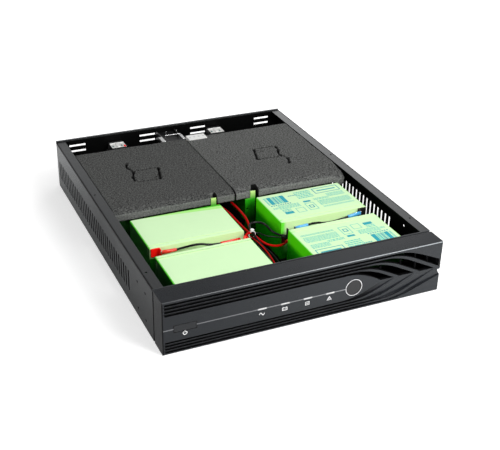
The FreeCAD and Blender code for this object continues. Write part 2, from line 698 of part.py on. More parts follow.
thick = value("lead")
thin = value("thin_lead")
seat = value("lead_seat")
top = value(TOP)
edge = value("channel/2")
front_y = value(FRONT)
gap_front = value(GAP_FRONT)
gap_back = value(GAP_BACK)
gap_mid = (gap_front + gap_back) / 2
rear_gap = value(FRONT + " + " + ROWS["d"] + " - row_gap/2")
foam_y = value(FRONT + " + foam_front")
sleeve_mid = value("sleeve_high/2")
back_y = value(BACK_Y + " + sleeve_deep/2")
fore_y = value(FRONT_Y + " + sleeve_deep/2")
back_z = value(BACK_Z) + sleeve_mid
fore_z = value(FRONT_Z) + sleeve_mid
left_start = -value(OUTER + " - sleeve_long")
left_end = -value(INNER + " + sleeve_long")
tube("link_lead_left", thick, [
    (left_start + seat, back_y, back_z),
    (left_start + 14, back_y - 1, back_z + 2),
    (left_start + 40, gap_mid, back_z + 4),
    (left_end - 16, gap_mid - 2, fore_z - 0.5),
    (left_end - seat, fore_y, fore_z)])
right_start = value(OUTER + " - sleeve_long")
right_end = value(INNER + " + sleeve_long")
tube("link_lead_right", thick, [
    (right_start - seat, back_y, back_z),
    (right_start - 16, back_y - 1, back_z - 3),
    (right_start - 42, gap_mid, back_z - 5),
    (right_end + 14, gap_mid - 1, fore_z + 0.8),
    (right_end + seat, fore_y, fore_z)])

low_z = value(LOW_BLOCK + " + block_high/2")
high_z = value(HIGH_BLOCK + " + block_high/2 - 4")
face = value("channel/2 + 1.5")
rear_block = value(FRONT + " + " + ROWS["d"] + " - block_out/2")
breaker_y = value("depth/2 - sheet - 50")
board_back = value(BOARD_FRONT + " + 1.6")
tie_x = -21.75
tie_y = gap_back - 8
tie_z = top - 1
tube("red_lead_left", thick, [
    (-face + 1.6, rear_block - 0.5, low_z),
    (-edge + 12, rear_block - 15, low_z + 1.5),
    (-edge + 9, rear_block - 36, low_z + 5),
    (-edge + 6.5, foam_y + 59, top - 18),
    (-edge + 5, foam_y + 16, top - 15),
    (-edge + 2.6, foam_y - 32, top - 1.4),
    (-edge + 2.8, tie_y + 44, top),
    (tie_x - 2.75, tie_y + 13, tie_z - 0.9),
    (tie_x - 2.75, tie_y - 5.5, tie_z - 0.9),
    (-face + 1.9, tie_y - 14, high_z + 3)])
tube("red_lead_right", thick, [
    (face - 1.6, rear_block - 0.5, low_z),
    (edge - 17, rear_block - 17, low_z + 2),
    (8, rear_block - 44, low_z + 7),
    (2, foam_y + 56, top - 18),
    (-4, foam_y + 15, top - 15.5),
    (-11.2, foam_y - 28, top - 1.2),
    (-13, tie_y + 44, top),
    (tie_x + 2.75, tie_y + 14, tie_z - 0.9),
    (tie_x + 2.75, tie_y - 5, tie_z - 0.9),
    (tie_x + 12, tie_y - 26.5, top - 12),
    (12, tie_y - 15, low_z + 1.5),
    (face - 1.7, tie_y + 0.5, low_z)])
floor_z = value("sheet") + thick
tube("black_lead", thick, [
    (face - 1.8, gap_front + 7, high_z + 2.5),
    (14, tie_y, top - 5),
    (8.5, tie_y + 27, top + 4),
    (-21.2, tie_y + 27, top + 4.5),
    (tie_x, tie_y - 6, tie_z + 2.6),
    (-18, tie_y - 25, top - 8.4),
    (-5, tie_y - 46, top - 21),
    (0, tie_y - 70, top - 37),
    (2, tie_y - 66, top - 60),
    (0, tie_y - 36, floor_z + 2),
    (-4, tie_y + 6, floor_z + 1),
    (0, tie_y + 64, floor_z + 2.5),
    (-5, tie_y + 122, floor_z + 1),
    (-1, tie_y + 180, floor_z + 2.5),
    (-6, tie_y + 238, floor_z + 1),
    (-3, tie_y + 294, floor_z + 3),
    (-9, tie_y + 338, floor_z + 20),
    (-11, breaker_y - 1.4, floor_z + 38)])
tube("front_lead_red", thin, [
    (-face + 0.9, tie_y + 4.5, low_z + 2),
    (-26, tie_y + 16, low_z + 11),
    (tie_x - 1.15, tie_y + 6, tie_z - 4),
    (tie_x - 1.15, tie_y - 9, tie_z - 4),
    (-25, tie_y - 28, top - 2),
    (-24.4, tie_y - 55, top - 3.3),
    (-26, tie_y - 84, top - 5.3),
    (-26.5, tie_y - 108, top - 11),
    (-26.5, board_back + 14.4, top - 18),
    (-26.5, board_back + seat/2, top - 21)])
tube("front_lead_black", thin, [
    (face - 0.9, gap_front + 7.5, high_z - 2.5),
    (17, tie_y - 3, high_z - 0.8),
    (0, tie_y + 1, top - 8.4),
    (-7, tie_y + 11, top - 6),
    (tie_x + 1.15, tie_y + 10, tie_z - 4.3),
    (tie_x + 1.15, tie_y - 8, tie_z - 4),
    (-23, tie_y - 30, top - 10),
    (-21, tie_y - 55, top - 13),
    (-20, tie_y - 84, top - 12),
    (-19.5, tie_y - 108, top - 13),
    (-19.5, board_back + 14.4, top - 18),
    (-19.5, board_back + seat/2, top - 21)])


# Cable tie round the leads

TIE_X = "%.3f" % tie_x
TIE_Y = GAP_BACK + " - 8"
TIE_Z = TOP + " - 1"
band = round_bar("tie_band", "lead*1.6", "3.6", (TIE_X, TIE_Y + " - 1.8", TIE_Z), "y")
bore = round_bar("tie_bore", "lead*1.6 - 1", "6", (TIE_X, TIE_Y + " - 3", TIE_Z), "y")
tie_ring = cut("tie_ring", band, [bore])
head = box("tie_head", ("5", "4.4", "4.5"), (TIE_X + " + 0.5", TIE_Y + " - 2.2", TIE_Z + " + lead*1.6 - 1.2"))
tail = box("tie_tail", ("1.2", "3.2", "9"), (TIE_X + " + lead*1.6 - 1.1", TIE_Y + " - 1.6", TIE_Z + " - 11"))
keep(joined("cable_tie", [tie_ring, head, tail]))


# Test every piece, then write one file for each

doc.recompute()
for item in doc.Objects:
    if "Invalid" in item.State or "Error" in item.State:
        raise RuntimeError("%s: %s" % (item.Name, item.State))
os.makedirs("parts", exist_ok=True)
whole = FreeCAD.BoundBox()
for item in PARTS:
    shape = item.Shape
    if shape.isNull() or not shape.isValid():
        raise RuntimeError("%s has no valid shape" % item.Name)
    solids = len(shape.Solids)
    print("%s: solids %d, volume %.1f, faces %d" % (item.Label, solids, shape.Volume, len(shape.Faces)))
    whole.add(shape.BoundBox)
    shape.exportStep("parts/%s.step" % item.Label)
print("pieces %d, box %s" % (len(PARTS), whole))
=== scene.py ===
import math
import random

import bmesh
import bpy
from mathutils import Matrix, Vector, noise


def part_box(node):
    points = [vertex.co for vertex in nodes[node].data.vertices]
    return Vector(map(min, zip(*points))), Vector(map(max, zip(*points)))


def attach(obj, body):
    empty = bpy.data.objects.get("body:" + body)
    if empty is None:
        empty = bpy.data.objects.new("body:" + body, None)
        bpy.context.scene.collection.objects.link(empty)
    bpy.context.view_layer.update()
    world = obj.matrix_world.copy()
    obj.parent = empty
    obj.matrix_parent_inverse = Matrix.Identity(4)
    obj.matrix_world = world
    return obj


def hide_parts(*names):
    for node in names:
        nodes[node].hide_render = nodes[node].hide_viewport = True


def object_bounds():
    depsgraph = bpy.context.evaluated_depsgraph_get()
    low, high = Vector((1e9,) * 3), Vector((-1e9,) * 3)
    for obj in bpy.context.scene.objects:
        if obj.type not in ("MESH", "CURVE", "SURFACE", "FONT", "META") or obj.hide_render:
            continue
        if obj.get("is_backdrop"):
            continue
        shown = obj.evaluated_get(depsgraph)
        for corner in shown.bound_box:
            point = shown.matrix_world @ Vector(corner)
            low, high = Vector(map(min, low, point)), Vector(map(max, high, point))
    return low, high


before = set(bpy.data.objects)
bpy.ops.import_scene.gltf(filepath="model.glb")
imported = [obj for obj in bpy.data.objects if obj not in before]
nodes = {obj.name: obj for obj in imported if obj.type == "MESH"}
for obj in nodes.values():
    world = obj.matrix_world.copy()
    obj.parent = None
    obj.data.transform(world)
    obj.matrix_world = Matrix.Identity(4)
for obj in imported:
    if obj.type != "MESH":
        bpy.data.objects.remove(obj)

cad_low, cad_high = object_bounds()
scene = bpy.context.scene
scene.view_settings.view_transform = "Standard"


# Studio: a white floor in a white room under a greyer ceiling, a large soft lamp in front to the right,
# a small one low on the left and a weak panel behind.
# The camera stands left of the pack's middle, looks down on it and leans over by about a degree.
CAMERA_AT = Vector((-0.54645, -1.26502, 0.76078))
AHEAD = Vector((0.36673, 0.79933, -0.47600)).normalized()
LEAN = math.radians(1.2614)
WHITE, ROOM_LIGHT, CEILING_GREY = (1, 1, 1, 1), 0.40, 0.42
FLOOR_FADE, FLOOR_HALF, FLOOR_DROP = (0.34, 0.62), 12, 0.0006
FLOOR_GLOW, FLOOR_GLOSS, CEILING_FADE = 0.46, 0.10, (0.20, 0.60)

level = AHEAD.cross(Vector((0, 0, 1))).normalized()
across = level * math.cos(LEAN) + level.cross(AHEAD) * math.sin(LEAN)
lens = bpy.data.cameras.new("camera")
lens.lens, lens.sensor_width, lens.sensor_fit = 67.740, 36, "HORIZONTAL"
lens.shift_x = 0.0006
camera = bpy.data.objects.new("camera", lens)
turned = Matrix((across, across.cross(AHEAD), -AHEAD)).transposed().to_4x4()
camera.matrix_world = Matrix.Translation(CAMERA_AT) @ turned
scene.collection.objects.link(camera)
scene.camera = camera


def put(given, socket):
    """Link a node's output to a socket, or set the socket to a fixed value."""
    if isinstance(given, bpy.types.NodeSocket):
        given.id_data.links.new(given, socket)
    else:
        socket.default_value = given


def node_beside(kind, *given):
    """A new node in the tree of the first node's output among the given values."""
    return next(value for value in given if isinstance(value, bpy.types.NodeSocket)).id_data.nodes.new(kind)


def worked(way, *given):
    """A sum on numbers and nodes' outputs."""
    step = node_beside("ShaderNodeMath", *given)
    step.operation = way
    for value, socket in zip(given, step.inputs):
        put(value, socket)
    return step.outputs[0]


def both(first, second):
    return worked("MULTIPLY", first, second)


def slope(value, start, end, first=0.0, last=1.0):
    """A value that runs from the first to the last between two places."""
    ramp = node_beside("ShaderNodeMapRange", value)
    for name, given in (("Value", value), ("From Min", start), ("From Max", end), ("To Min", first),
                        ("To Max", last)):
        put(given, ramp.inputs[name])
    return ramp.outputs["Result"]


def where(tree, kind="Object"):
    """X, Y and Z of the spot that is shaded, or of its normal."""
    place, apart = tree.nodes.new("ShaderNodeTexCoord"), tree.nodes.new("ShaderNodeSeparateXYZ")
    put(place.outputs[kind], apart.inputs[0])
    return apart.outputs[:]


def seen_by(tree, straight, gloss):
    """One value for the rays that see the room straight or through a clear piece, another for a gloss."""
    rays = tree.nodes.new("ShaderNodeLightPath").outputs
    clear = worked("MAXIMUM", rays["Is Camera Ray"], rays["Is Transmission Ray"])
    return worked("MULTIPLY_ADD", clear, straight, both(rays["Is Glossy Ray"], gloss))


room = bpy.data.worlds.new("white_room")
scene.world = room
room.use_nodes = True
tree = room.node_tree
lit, seen = tree.nodes["Background"], tree.nodes.new("ShaderNodeBackground")
lit.inputs["Color"].default_value, lit.inputs["Strength"].default_value = WHITE, ROOM_LIGHT
seen.inputs["Strength"].default_value = 1.0
put(slope(where(tree, "Generated")[2], *CEILING_FADE, 1.0, CEILING_GREY), seen.inputs["Color"])
choose = tree.nodes.new("ShaderNodeMixShader")
put(seen_by(tree, 1.0, 1.0), choose.inputs["Fac"])
put(lit.outputs[0], choose.inputs[1])
put(seen.outputs[0], choose.inputs[2])
put(choose.outputs[0], tree.nodes["World Output"].inputs["Surface"])

floor_paint = bpy.data.materials.new("floor_white")
floor_paint.use_nodes = True
tree = floor_paint.node_tree
shader = tree.nodes["Principled BSDF"]
for socket, value in (("Base Color", (0.80, 0.80, 0.80, 1)), ("Roughness", 0.9), ("Specular IOR Level", 0.1),
                      ("Emission Color", WHITE)):
    shader.inputs[socket].default_value = value
place, away = tree.nodes.new("ShaderNodeTexCoord"), tree.nodes.new("ShaderNodeVectorMath")
away.operation = "LENGTH"
put(place.outputs["Object"], away.inputs[0])
far = slope(away.outputs["Value"], *FLOOR_FADE, 1.0, 2.0)
put(both(seen_by(tree, FLOOR_GLOW, FLOOR_GLOSS), far), shader.inputs["Emission Strength"])

bm = bmesh.new()
bmesh.ops.create_grid(bm, x_segments=1, y_segments=1, size=FLOOR_HALF)
bmesh.ops.translate(bm, vec=(0, 0, -FLOOR_DROP), verts=bm.verts)
mesh = bpy.data.meshes.new("floor")
bm.to_mesh(mesh)
bm.free()
mesh.materials.append(floor_paint)
floor = bpy.data.objects.new("floor", mesh)
scene.collection.objects.link(floor)
floor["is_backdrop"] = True


def soft_lamp(name, at, aim, wide, watts):
    data = bpy.data.lights.new(name, "AREA")
    data.shape, data.size, data.energy = "SQUARE", wide, watts
    lamp = bpy.data.objects.new(name, data)
    lamp.location = at
    lamp.rotation_euler = (Vector(aim) - Vector(at)).to_track_quat("-Z", "Y").to_euler()
    scene.collection.objects.link(lamp)


soft_lamp("lamp_front_right", (0.62, -1.22, 1.18), (0, 0, 0.05), 0.8, 25)
soft_lamp("lamp_left", (-1.35, -0.75, 0.66), (0, -0.1, 0.05), 0.5, 7)
soft_lamp("panel_behind_right", (0.85, 1.10, 0.55), (0.1, 0, 0.05), 0.6, 1.2)


# Tray: one sheet of folded steel with slotted walls, return flanges and screw holes.
# It is coated in fine matt black powder, a little thinner along the folds; its edges are worn grey and partly
# painted bright as a painted highlight, and the folds and the inside are painted darker as painted shade.
SKIN, INSET = 0.0005, 0.0006
SIDE_SLOTS, SIDE_PITCH, FIRST_SLOT = 35, 0.0118, 0.146
REAR_SLOTS_X, REAR_SLOTS_Z, REAR_SLOT_HALF = (-0.182, -0.050, 0.050, 0.182), (0.0599, 0.0706), 0.0151
LIP_DEEP, LIP_ROUND = 0.0011, 0.0002


def either(first, second):
    return worked("MAXIMUM", first, second)


def over(value, limit):
    return worked("GREATER_THAN", value, limit)


def under(value, limit):
    return worked("LESS_THAN", value, limit)


def between(value, low, high):
    return both(over(value, low), under(value, high))


def mixed(mask, first, second, way="MIX"):
    """A mix of two colours, each a fixed colour or a node's output."""
    mix = node_beside("ShaderNodeMix", mask, first, second)
    mix.data_type, mix.blend_type = "RGBA", way
    for given, socket in ((mask, 0), (first, 6), (second, 7)):
        put(given, mix.inputs[socket])
    return mix.outputs[2]


def layered(tone, *layers):
    """A tone with the colour of each mask laid over it in turn."""
    for mask, colour in layers:
        tone = mixed(mask, tone, colour)
    return tone


def so_far(tree, socket="Base Color"):
    """What feeds a socket of the material's shader up to now."""
    return tree.nodes["Principled BSDF"].inputs[socket].links[0].from_socket


def paint(given, socket="Base Color"):
    """Feed a socket of the material's shader."""
    put(given, given.id_data.nodes["Principled BSDF"].inputs[socket])


def sockets(group, way, wanted):
    for name, kind in wanted:
        group.interface.new_socket(name, in_out=way, socket_type=kind)


def make_surface_grain():
    """Two colours, a roughness and a height that wander over the surface, coarse and fine together."""
    group = bpy.data.node_groups.new("surface_grain", "ShaderNodeTree")
    number, colour = "NodeSocketFloat", "NodeSocketColor"
    sockets(group, "INPUT", [("Dark", colour), ("Light", colour), ("Fine", number), ("Broad", number),
                             ("Speckle", number), ("Smooth", number), ("Rough", number)])
    sockets(group, "OUTPUT", [("Colour", colour), ("Roughness", number), ("Height", number)])
    new = group.nodes.new
    given, made = new("NodeGroupInput").outputs, new("NodeGroupOutput").inputs
    place, blend, clouds = new("ShaderNodeTexCoord"), new("ShaderNodeMix"), {}
    for scale, detail in (("Fine", 3), ("Broad", 4)):
        cloud = new("ShaderNodeTexNoise")
        cloud.inputs["Detail"].default_value = detail
        put(place.outputs["Object"], cloud.inputs["Vector"])
        put(given[scale], cloud.inputs["Scale"])
        clouds[scale] = cloud.outputs["Fac"]
    blend.data_type = "FLOAT"
    for value, socket in ((given["Speckle"], 0), (clouds["Broad"], 2), (clouds["Fine"], 3)):
        put(value, blend.inputs[socket])
    put(mixed(slope(blend.outputs[0], 0.3, 0.7), given["Dark"], given["Light"]), made["Colour"])
    put(slope(blend.outputs[0], 0.3, 0.7, given["Smooth"], given["Rough"]), made["Roughness"])
    put(clouds["Fine"], made["Height"])
    return group


def make_edge_wear_and_painted_light():
    """A mask along outside edges for wear and painted light, broken up by a noise, and the normal of edges
    rounded by the reach.
    """
    group = bpy.data.node_groups.new("edge_wear_and_painted_light", "ShaderNodeTree")
    sockets(group, "INPUT", [("Reach", "NodeSocketFloat"), ("Patches", "NodeSocketFloat")])
    sockets(group, "OUTPUT", [("Mask", "NodeSocketFloat"), ("Normal", "NodeSocketVector")])
    new = group.nodes.new
    given, made = new("NodeGroupInput").outputs, new("NodeGroupOutput").inputs
    rounded, flat, place = new("ShaderNodeBevel"), new("ShaderNodeNewGeometry"), new("ShaderNodeTexCoord")
    turn, cloud = new("ShaderNodeVectorMath"), new("ShaderNodeTexNoise")
    rounded.samples, turn.operation = 6, "DOT_PRODUCT"
    put(given["Reach"], rounded.inputs["Radius"])
    put(rounded.outputs["Normal"], turn.inputs[0])
    put(flat.outputs["Normal"], turn.inputs[1])
    put(place.outputs["Object"], cloud.inputs["Vector"])
    put(given["Patches"], cloud.inputs["Scale"])
    put(rounded.outputs["Normal"], made["Normal"])
    put(both(slope(turn.outputs["Value"], 0.99, 0.80), slope(cloud.outputs["Fac"], 0.35, 0.65)), made["Mask"])
    return group


surface_grain, edge_wear_and_painted_light = make_surface_grain(), make_edge_wear_and_painted_light()


def finish(name, dark, light, fine, broad, speckle, smooth, rough, bump, reach=0.0, edge=None, **plain):
    """A material with the grain, bump and worn edges of one finish, the edges also carrying painted light;
    plain values go on the shader.
    """
    made = bpy.data.materials.new(name)
    made.use_nodes = True
    tree = made.node_tree
    shader = tree.nodes["Principled BSDF"].inputs
    for socket, value in plain.items():
        shader[socket.replace("_", " ")].default_value = value
    grain, tooth = tree.nodes.new("ShaderNodeGroup"), tree.nodes.new("ShaderNodeBump")
    grain.node_tree = surface_grain
    for socket, value in (("Dark", (*dark, 1)), ("Light", (*light, 1)), ("Fine", fine), ("Broad", broad),
                          ("Speckle", speckle), ("Smooth", smooth), ("Rough", rough)):
        grain.inputs[socket].default_value = value
    tooth.inputs["Distance"].default_value = bump
    put(grain.outputs["Height"], tooth.inputs["Height"])
    put(tooth.outputs["Normal"], shader["Normal"])
    put(grain.outputs["Roughness"], shader["Roughness"])
    colour = grain.outputs["Colour"]
    if reach:
        edge_wear_and_light = tree.nodes.new("ShaderNodeGroup")
        edge_wear_and_light.node_tree = edge_wear_and_painted_light
        edge_wear_and_light.inputs["Reach"].default_value, edge_wear_and_light.inputs["Patches"].default_value = reach, 90
        put(edge_wear_and_light.outputs["Normal"], tooth.inputs["Normal"])
        colour = mixed(edge_wear_and_light.outputs["Mask"], colour, (*(edge or light), 1))
    put(colour, shader["Base Color"])
    return made


def dress(material, *names):
    for name in names:
        for slot in nodes[name].material_slots:
            slot.material = material


def finished_piece(name, bm, material, body="case"):
    mesh = bpy.data.meshes.new(name)
    bm.to_mesh(mesh)
    bm.free()
    mesh.materials.append(material)
    made = bpy.data.objects.new(name, mesh)
    scene.collection.objects.link(made)
    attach(made, body)
    return made


def soft_block(bm, low, high, round_by, segments=2):
    """Add a block between two corners, with rounded edges."""
    low, high = Vector(low), Vector(high)
    shape = Matrix.Translation((low + high) / 2) @ Matrix.Diagonal((*(high - low), 1))
    made = bmesh.ops.create_cube(bm, size=1, matrix=shape)["verts"]
    edges = {edge for v in made for edge in v.link_edges}
    bmesh.ops.bevel(bm, geom=list(edges), offset=round_by, segments=segments, profile=0.5, affect="EDGES",
                    material=-1)


powder_coat = finish(
    "powder_coat", (0.0035, 0.0035, 0.004), (0.0075, 0.0078, 0.0086), fine=1500, broad=9, speckle=0.35,
    smooth=0.42, rough=0.54, bump=0.00004, reach=0.0008, edge=(0.022, 0.022, 0.024), Specular_IOR_Level=0.10,
    Coat_Roughness=0.27, Coat_Tint=(0.90, 0.97, 1, 1))
tree = powder_coat.node_tree
x, y, z = where(tree)
across = worked("ABSOLUTE", x)
wall, level = over(across, cad_high.x - SKIN), over(z, cad_high.z - SKIN)
wall_gloss = either(slope(y, -0.28, 0.02, 0.20, 0.42), slope(y, 0.0, 0.22, 0.42, 1.0))
wall_gloss = both(wall_gloss, slope(z, 0.0, 0.08, 0.70, 1.1))
# The bend between wall and flange is painted darker as painted shade.
fold_shade = both(slope(across, 0.2176, 0.2192), slope(z, 0.0808, 0.0826))
gloss = worked("SUBTRACT", either(both(wall, wall_gloss), both(level, 0.8)), fold_shade)
gloss.node.use_clamp = True
paint(gloss, "Coat Weight")
# Faces inside the tray are painted near black as painted shade.
inside_shade = both(under(across, cad_high.x - INSET), under(z, cad_high.z - INSET))
inside_shade = both(inside_shade, under(y, cad_high.y - INSET))
# The front of the tray's top, beside the bezel, is painted lighter as painted light.
groove_light = both(under(y, -0.2450), over(z, 0.0800))
# The top of the rear hem is painted lighter as a painted highlight.
hem_highlight = both(over(y, cad_high.y + 0.0004), level)
paint(layered(so_far(tree), (fold_shade, (0.0012, 0.0012, 0.0014, 1)), (inside_shade, (0.0006, 0.0006, 0.0007, 1)),
              (groove_light, (0.045, 0.046, 0.049, 1)), (hem_highlight, (0.07, 0.07, 0.073, 1))))
dress(powder_coat, "chassis_tray")

bm = bmesh.new()
soft_block(bm, (cad_low.x + SKIN, cad_high.y - 0.0001, cad_high.z - 0.0045),
           (cad_high.x - SKIN, cad_high.y + 0.0040, cad_high.z + 0.0020), 0.0006)
finished_piece("rear_hem", bm, powder_coat)

bm = bmesh.new()
for x in REAR_SLOTS_X:
    for z in REAR_SLOTS_Z:
        soft_block(bm, (x - REAR_SLOT_HALF, cad_high.y - LIP_DEEP, z - 0.0001),
                   (x + REAR_SLOT_HALF, cad_high.y - 0.0001, z + 0.0012), LIP_ROUND, 1)
for k in range(SIDE_SLOTS):
    y = cad_low.y + FIRST_SLOT + SIDE_PITCH * k
    for x in (cad_low.x + 0.0001, cad_high.x - LIP_DEEP):
        soft_block(bm, (x, y - 0.0031, 0.0230), (x + 0.0010, y - 0.0019, 0.0516), LIP_ROUND, 1)
finished_piece("slot_lips", bm, powder_coat)


# Mats: four sheets of black rubber that lie loose on the tray floor, under the batteries.
# They are cut from a roll with a fine pebbled face.
mat_rubber = finish(
    "mat_rubber", (0.004, 0.004, 0.004), (0.010, 0.010, 0.010), fine=700, broad=20, speckle=0.5, smooth=0.6,
    rough=0.8, bump=0.0002, Specular_IOR_Level=0.2)
dress(mat_rubber, "battery_mat_front_left", "battery_mat_front_right", "battery_mat_rear_left",
      "battery_mat_rear_right")


# Batteries: eight sealed blocks on their sides, moulded in pale green plastic with a lid welded on.
# Their colour carries painted light and shade: the tops are pale, the ends are painted a leaf green that
# deepens towards the feet, and faces in shade are painted darker.
PALE, LEAF, DEEP = (0.68, 0.95, 0.565, 1), (0.115, 0.95, 0.005, 1), (0.012, 0.36, 0.002, 1)
CASE_LOW, CASE_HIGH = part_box("battery_a_left")
BEAD_LINES, BEAD_HALF = (0.0023, 0.0092), 0.0005
battery_plastic = finish(
    "battery_plastic", (0.94, 0.95, 0.94), (1, 1, 1), fine=900, broad=14, speckle=0.3, smooth=0.36, rough=0.5,
    bump=0.00003, reach=0.0010, edge=(1, 1, 1), Specular_IOR_Level=0.12)
tree = battery_plastic.node_tree
x, y, z = where(tree)
facing_x, facing_y, facing_z = where(tree, "Normal")
sideways, outer = worked("ABSOLUTE", facing_x), worked("ABSOLUTE", x)
front, left = under(facing_y, -0.5), under(x, 0)
# The ends are painted leaf green as painted light, deepening towards the bottom as painted shade.
side_shade_tone = mixed(slope(z, 0.056, 0.046), LEAF, DEEP)
# Front faces next to the channel are painted with the end colour as painted shade.
channel_corner_shade = slope(worked("ABSOLUTE", worked("SUBTRACT", x, 0.0315)), 0.0035, 0.0090, 0.9, 0)
# The low outer ends of the front faces are painted dark as painted shade.
low_end_shade = both(slope(outer, 0.158, 0.170), slope(z, 0.060, 0.055))
# The lid seam on the left tops is painted as a dark green line, as painted shade in its groove.
lid_groove_shade = both(between(y, CASE_HIGH.y - 0.0070, CASE_HIGH.y - 0.0060), both(left, over(facing_z, 0.5)))
# Every face is painted deeper green towards the feet as painted shade, and the front faces lighter near the
# top as painted light.
case_tone = layered(
    mixed(sideways, PALE, side_shade_tone), (slope(z, 0.056, 0.016), DEEP),
    (both(front, slope(z, 0.050, 0.064)), (0.74, 1.0, 0.50, 1)), (both(front, channel_corner_shade), side_shade_tone),
    (both(front, low_end_shade), (0.003, 0.07, 0.001, 1)), (both(lid_groove_shade, 0.7), (0.16, 0.55, 0.04, 1)))
left_rear = both(under(y, -0.028), left)
# Two bands along the left rear tops by the foam's edge are painted greener as painted shadow.
for tilt, start, colour in ((0.1038, -0.0461, (0.44, 0.95, 0.24, 1)),
                            (0.060, -0.0354, (0.05, 0.55, 0.002, 1))):
    foam_shadow = slope(worked("MULTIPLY_ADD", x, tilt, y), start, start + 0.0010, 0, 0.95)
    case_tone = mixed(both(left_rear, foam_shadow), case_tone, colour)
# The front faces of the front row and of the rear rows are painted dark as painted shade.
shade = both(front, either(under(y, CASE_LOW.y + 0.002), over(y, -0.020)))
# The outer ends are painted dark as painted shade, with a painted highlight along the top edge.
ends = both(sideways, over(outer, 0.181))
rim = slope(z, CASE_HIGH.z - 0.0030, CASE_HIGH.z - 0.0008)
case_tone = layered(case_tone, (shade, (0.002, 0.03, 0.001, 1)),
                    (ends, mixed(rim, (0.001, 0.11, 0.0005, 1), (0.10, 1.0, 0.008, 1))))
paint(mixed(1.0, case_tone, so_far(tree), "MULTIPLY"))
for row in "abcd":
    dress(battery_plastic, "battery_%s_left" % row, "battery_%s_right" % row)

for row, face, inward in (("a", 1, -1), ("b", 0, 1)):
    for side in ("left", "right"):
        low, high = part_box("battery_%s_%s" % (row, side))
        face_y = (low, high)[face].y
        bm = bmesh.new()
        for away in BEAD_LINES:
            y = face_y + inward * away
            soft_block(bm, (low.x + 0.002, y - BEAD_HALF, high.z - 0.0004),
                       (high.x - 0.002, y + BEAD_HALF, high.z + 0.0004), 0.0003)
        finished_piece("lid_bead_%s_%s" % (row, side), bm, battery_plastic)


# Print on the two right-hand front batteries: teal ink rolled on the case, the front one turned end for end.
# Plain bars, dashes and frames stand where the lines of small print are.
ink_dark = finish(
    "ink_dark", (0.01, 0.32, 0.40), (0.03, 0.43, 0.49), fine=1200, broad=60, speckle=0.6, smooth=0.5,
    rough=0.65, bump=0.00001, Specular_IOR_Level=0.25)
ink_light = finish(
    "ink_light", (0.06, 0.52, 0.47), (0.14, 0.66, 0.56), fine=1200, broad=60, speckle=0.6, smooth=0.5,
    rough=0.65, bump=0.00001, Specular_IOR_Level=0.25)
PRINT_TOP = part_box("battery_b_right")[1].z + 0.00008
BARS = 13.0, 38.4


def ink_field(bm, x0, x1, y0, y1):
    """One printed rectangle; x and y run from the battery's middle, in millimetres."""
    shape = Matrix.Diagonal(((x1 - x0) / 1000, (y1 - y0) / 1000, 1, 1))
    at = Matrix.Translation(((x0 + x1) / 2000, (y0 + y1) / 2000, 0))
    bmesh.ops.create_grid(bm, x_segments=1, y_segments=1, size=0.5, matrix=at @ shape)


def ink_lines(bm, x0, x1, y0, y1, rows, words):
    """Rows of short dashes, as small print looks from afar."""
    pitch = (y1 - y0) / rows
    for row in range(rows):
        x = x0
        while x < x1:
            length = words.uniform(1.6, 5.0)
            ink_field(bm, x, min(x + length, x1), y1 - (row + 0.72) * pitch, y1 - (row + 0.18) * pitch)
            x += length + words.uniform(0.7, 1.2)


def ink_frame(bm, x0, x1, y0, y1, line):
    for box in ((x0, x1, y0, y0 + line), (x0, x1, y1 - line, y1),
                (x0, x0 + line, y0 + line, y1 - line), (x1 - line, x1, y0 + line, y1 - line)):
        ink_field(bm, *box)


def battery_print(name, node, turned):
    low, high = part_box(node)
    middle = (low + high) / 2
    words = random.Random(7)
    dark, light = bmesh.new(), bmesh.new()
    for x0, x1 in ((-63.0, -56.0), (-52.5, -50.4), (-49.6, -48.6), (-40.6, -33.2)):
        ink_field(dark, x0, x1, *BARS)
    for x0, x1 in ((-68.0, -66.6), (-65.8, -64.8), (-55.0, -53.6), (-47.4, -44.4), (-43.4, -41.6)):
        ink_field(light, x0, x1, *BARS)
    for k in range(9):
        ink_field(dark, -66.5 + 4.1 * k, -64.1 + 4.1 * k, 7.6, 10.6)
    ink_lines(dark, -26.0, -12.0, 29.5, 33.5, 1, words)
    ink_lines(light, -13.0, 15.0, 15.5, 41.0, 5, words)
    ink_frame(dark, 21.0, 67.0, 23.5, 41.5, 1.4)
    ink_field(dark, 27.0, 61.0, 31.0, 34.0)
    for x0, x1, y0, y1, rows in ((36, 67, 7, 19.5, 4), (8, 36, 3, 10, 2), (11, 68, -16, 1, 6),
                                 (12, 68, -24, -19, 2), (-67, -58, -4, 2, 2), (-57, -20, -7, 6, 4),
                                 (-56, -41, -16, -8, 2)):
        ink_lines(light, x0, x1, y0, y1, rows, words)
    ink_field(dark, -55.5, -40.5, -24.5, -17.0)
    ink_frame(light, -34.0, -19.0, -26.0, -11.0, 1.0)
    ink_field(dark, -11.5, 1.5, 2.0, 7.0)
    ink_frame(light, -13.0, 3.0, -25.0, -1.5, 1.1)
    ink_frame(dark, -9.0, -1.0, -18.0, -9.0, 1.6)
    spot = Matrix.Translation((middle.x, middle.y, PRINT_TOP))
    if turned:
        spot = spot @ Matrix.Rotation(math.pi, 4, "Z")
    for tone, bm, ink in (("dark", dark, ink_dark), ("light", light, ink_light)):
        bmesh.ops.transform(bm, matrix=spot, verts=bm.verts)
        finished_piece("print_%s_%s" % (tone, name), bm, ink)


battery_print("rear", "battery_b_right", False)
battery_print("front", "battery_a_right", True)


# Terminals: moulded holders on each battery's lid, red for plus and black for minus.
# A tinned blade comes out of the holder where a sleeve is pushed on; the low red holders are painted dark as
# painted shade.
block_red = finish(
    "block_red", (0.92, 0.004, 0.003), (1.0, 0.007, 0.005), fine=900, broad=30, speckle=0.4, smooth=0.35,
    rough=0.5, bump=0.00003, reach=0.0006, edge=(0.95, 0.03, 0.02), Specular_IOR_Level=0.18)
tree = block_red.node_tree
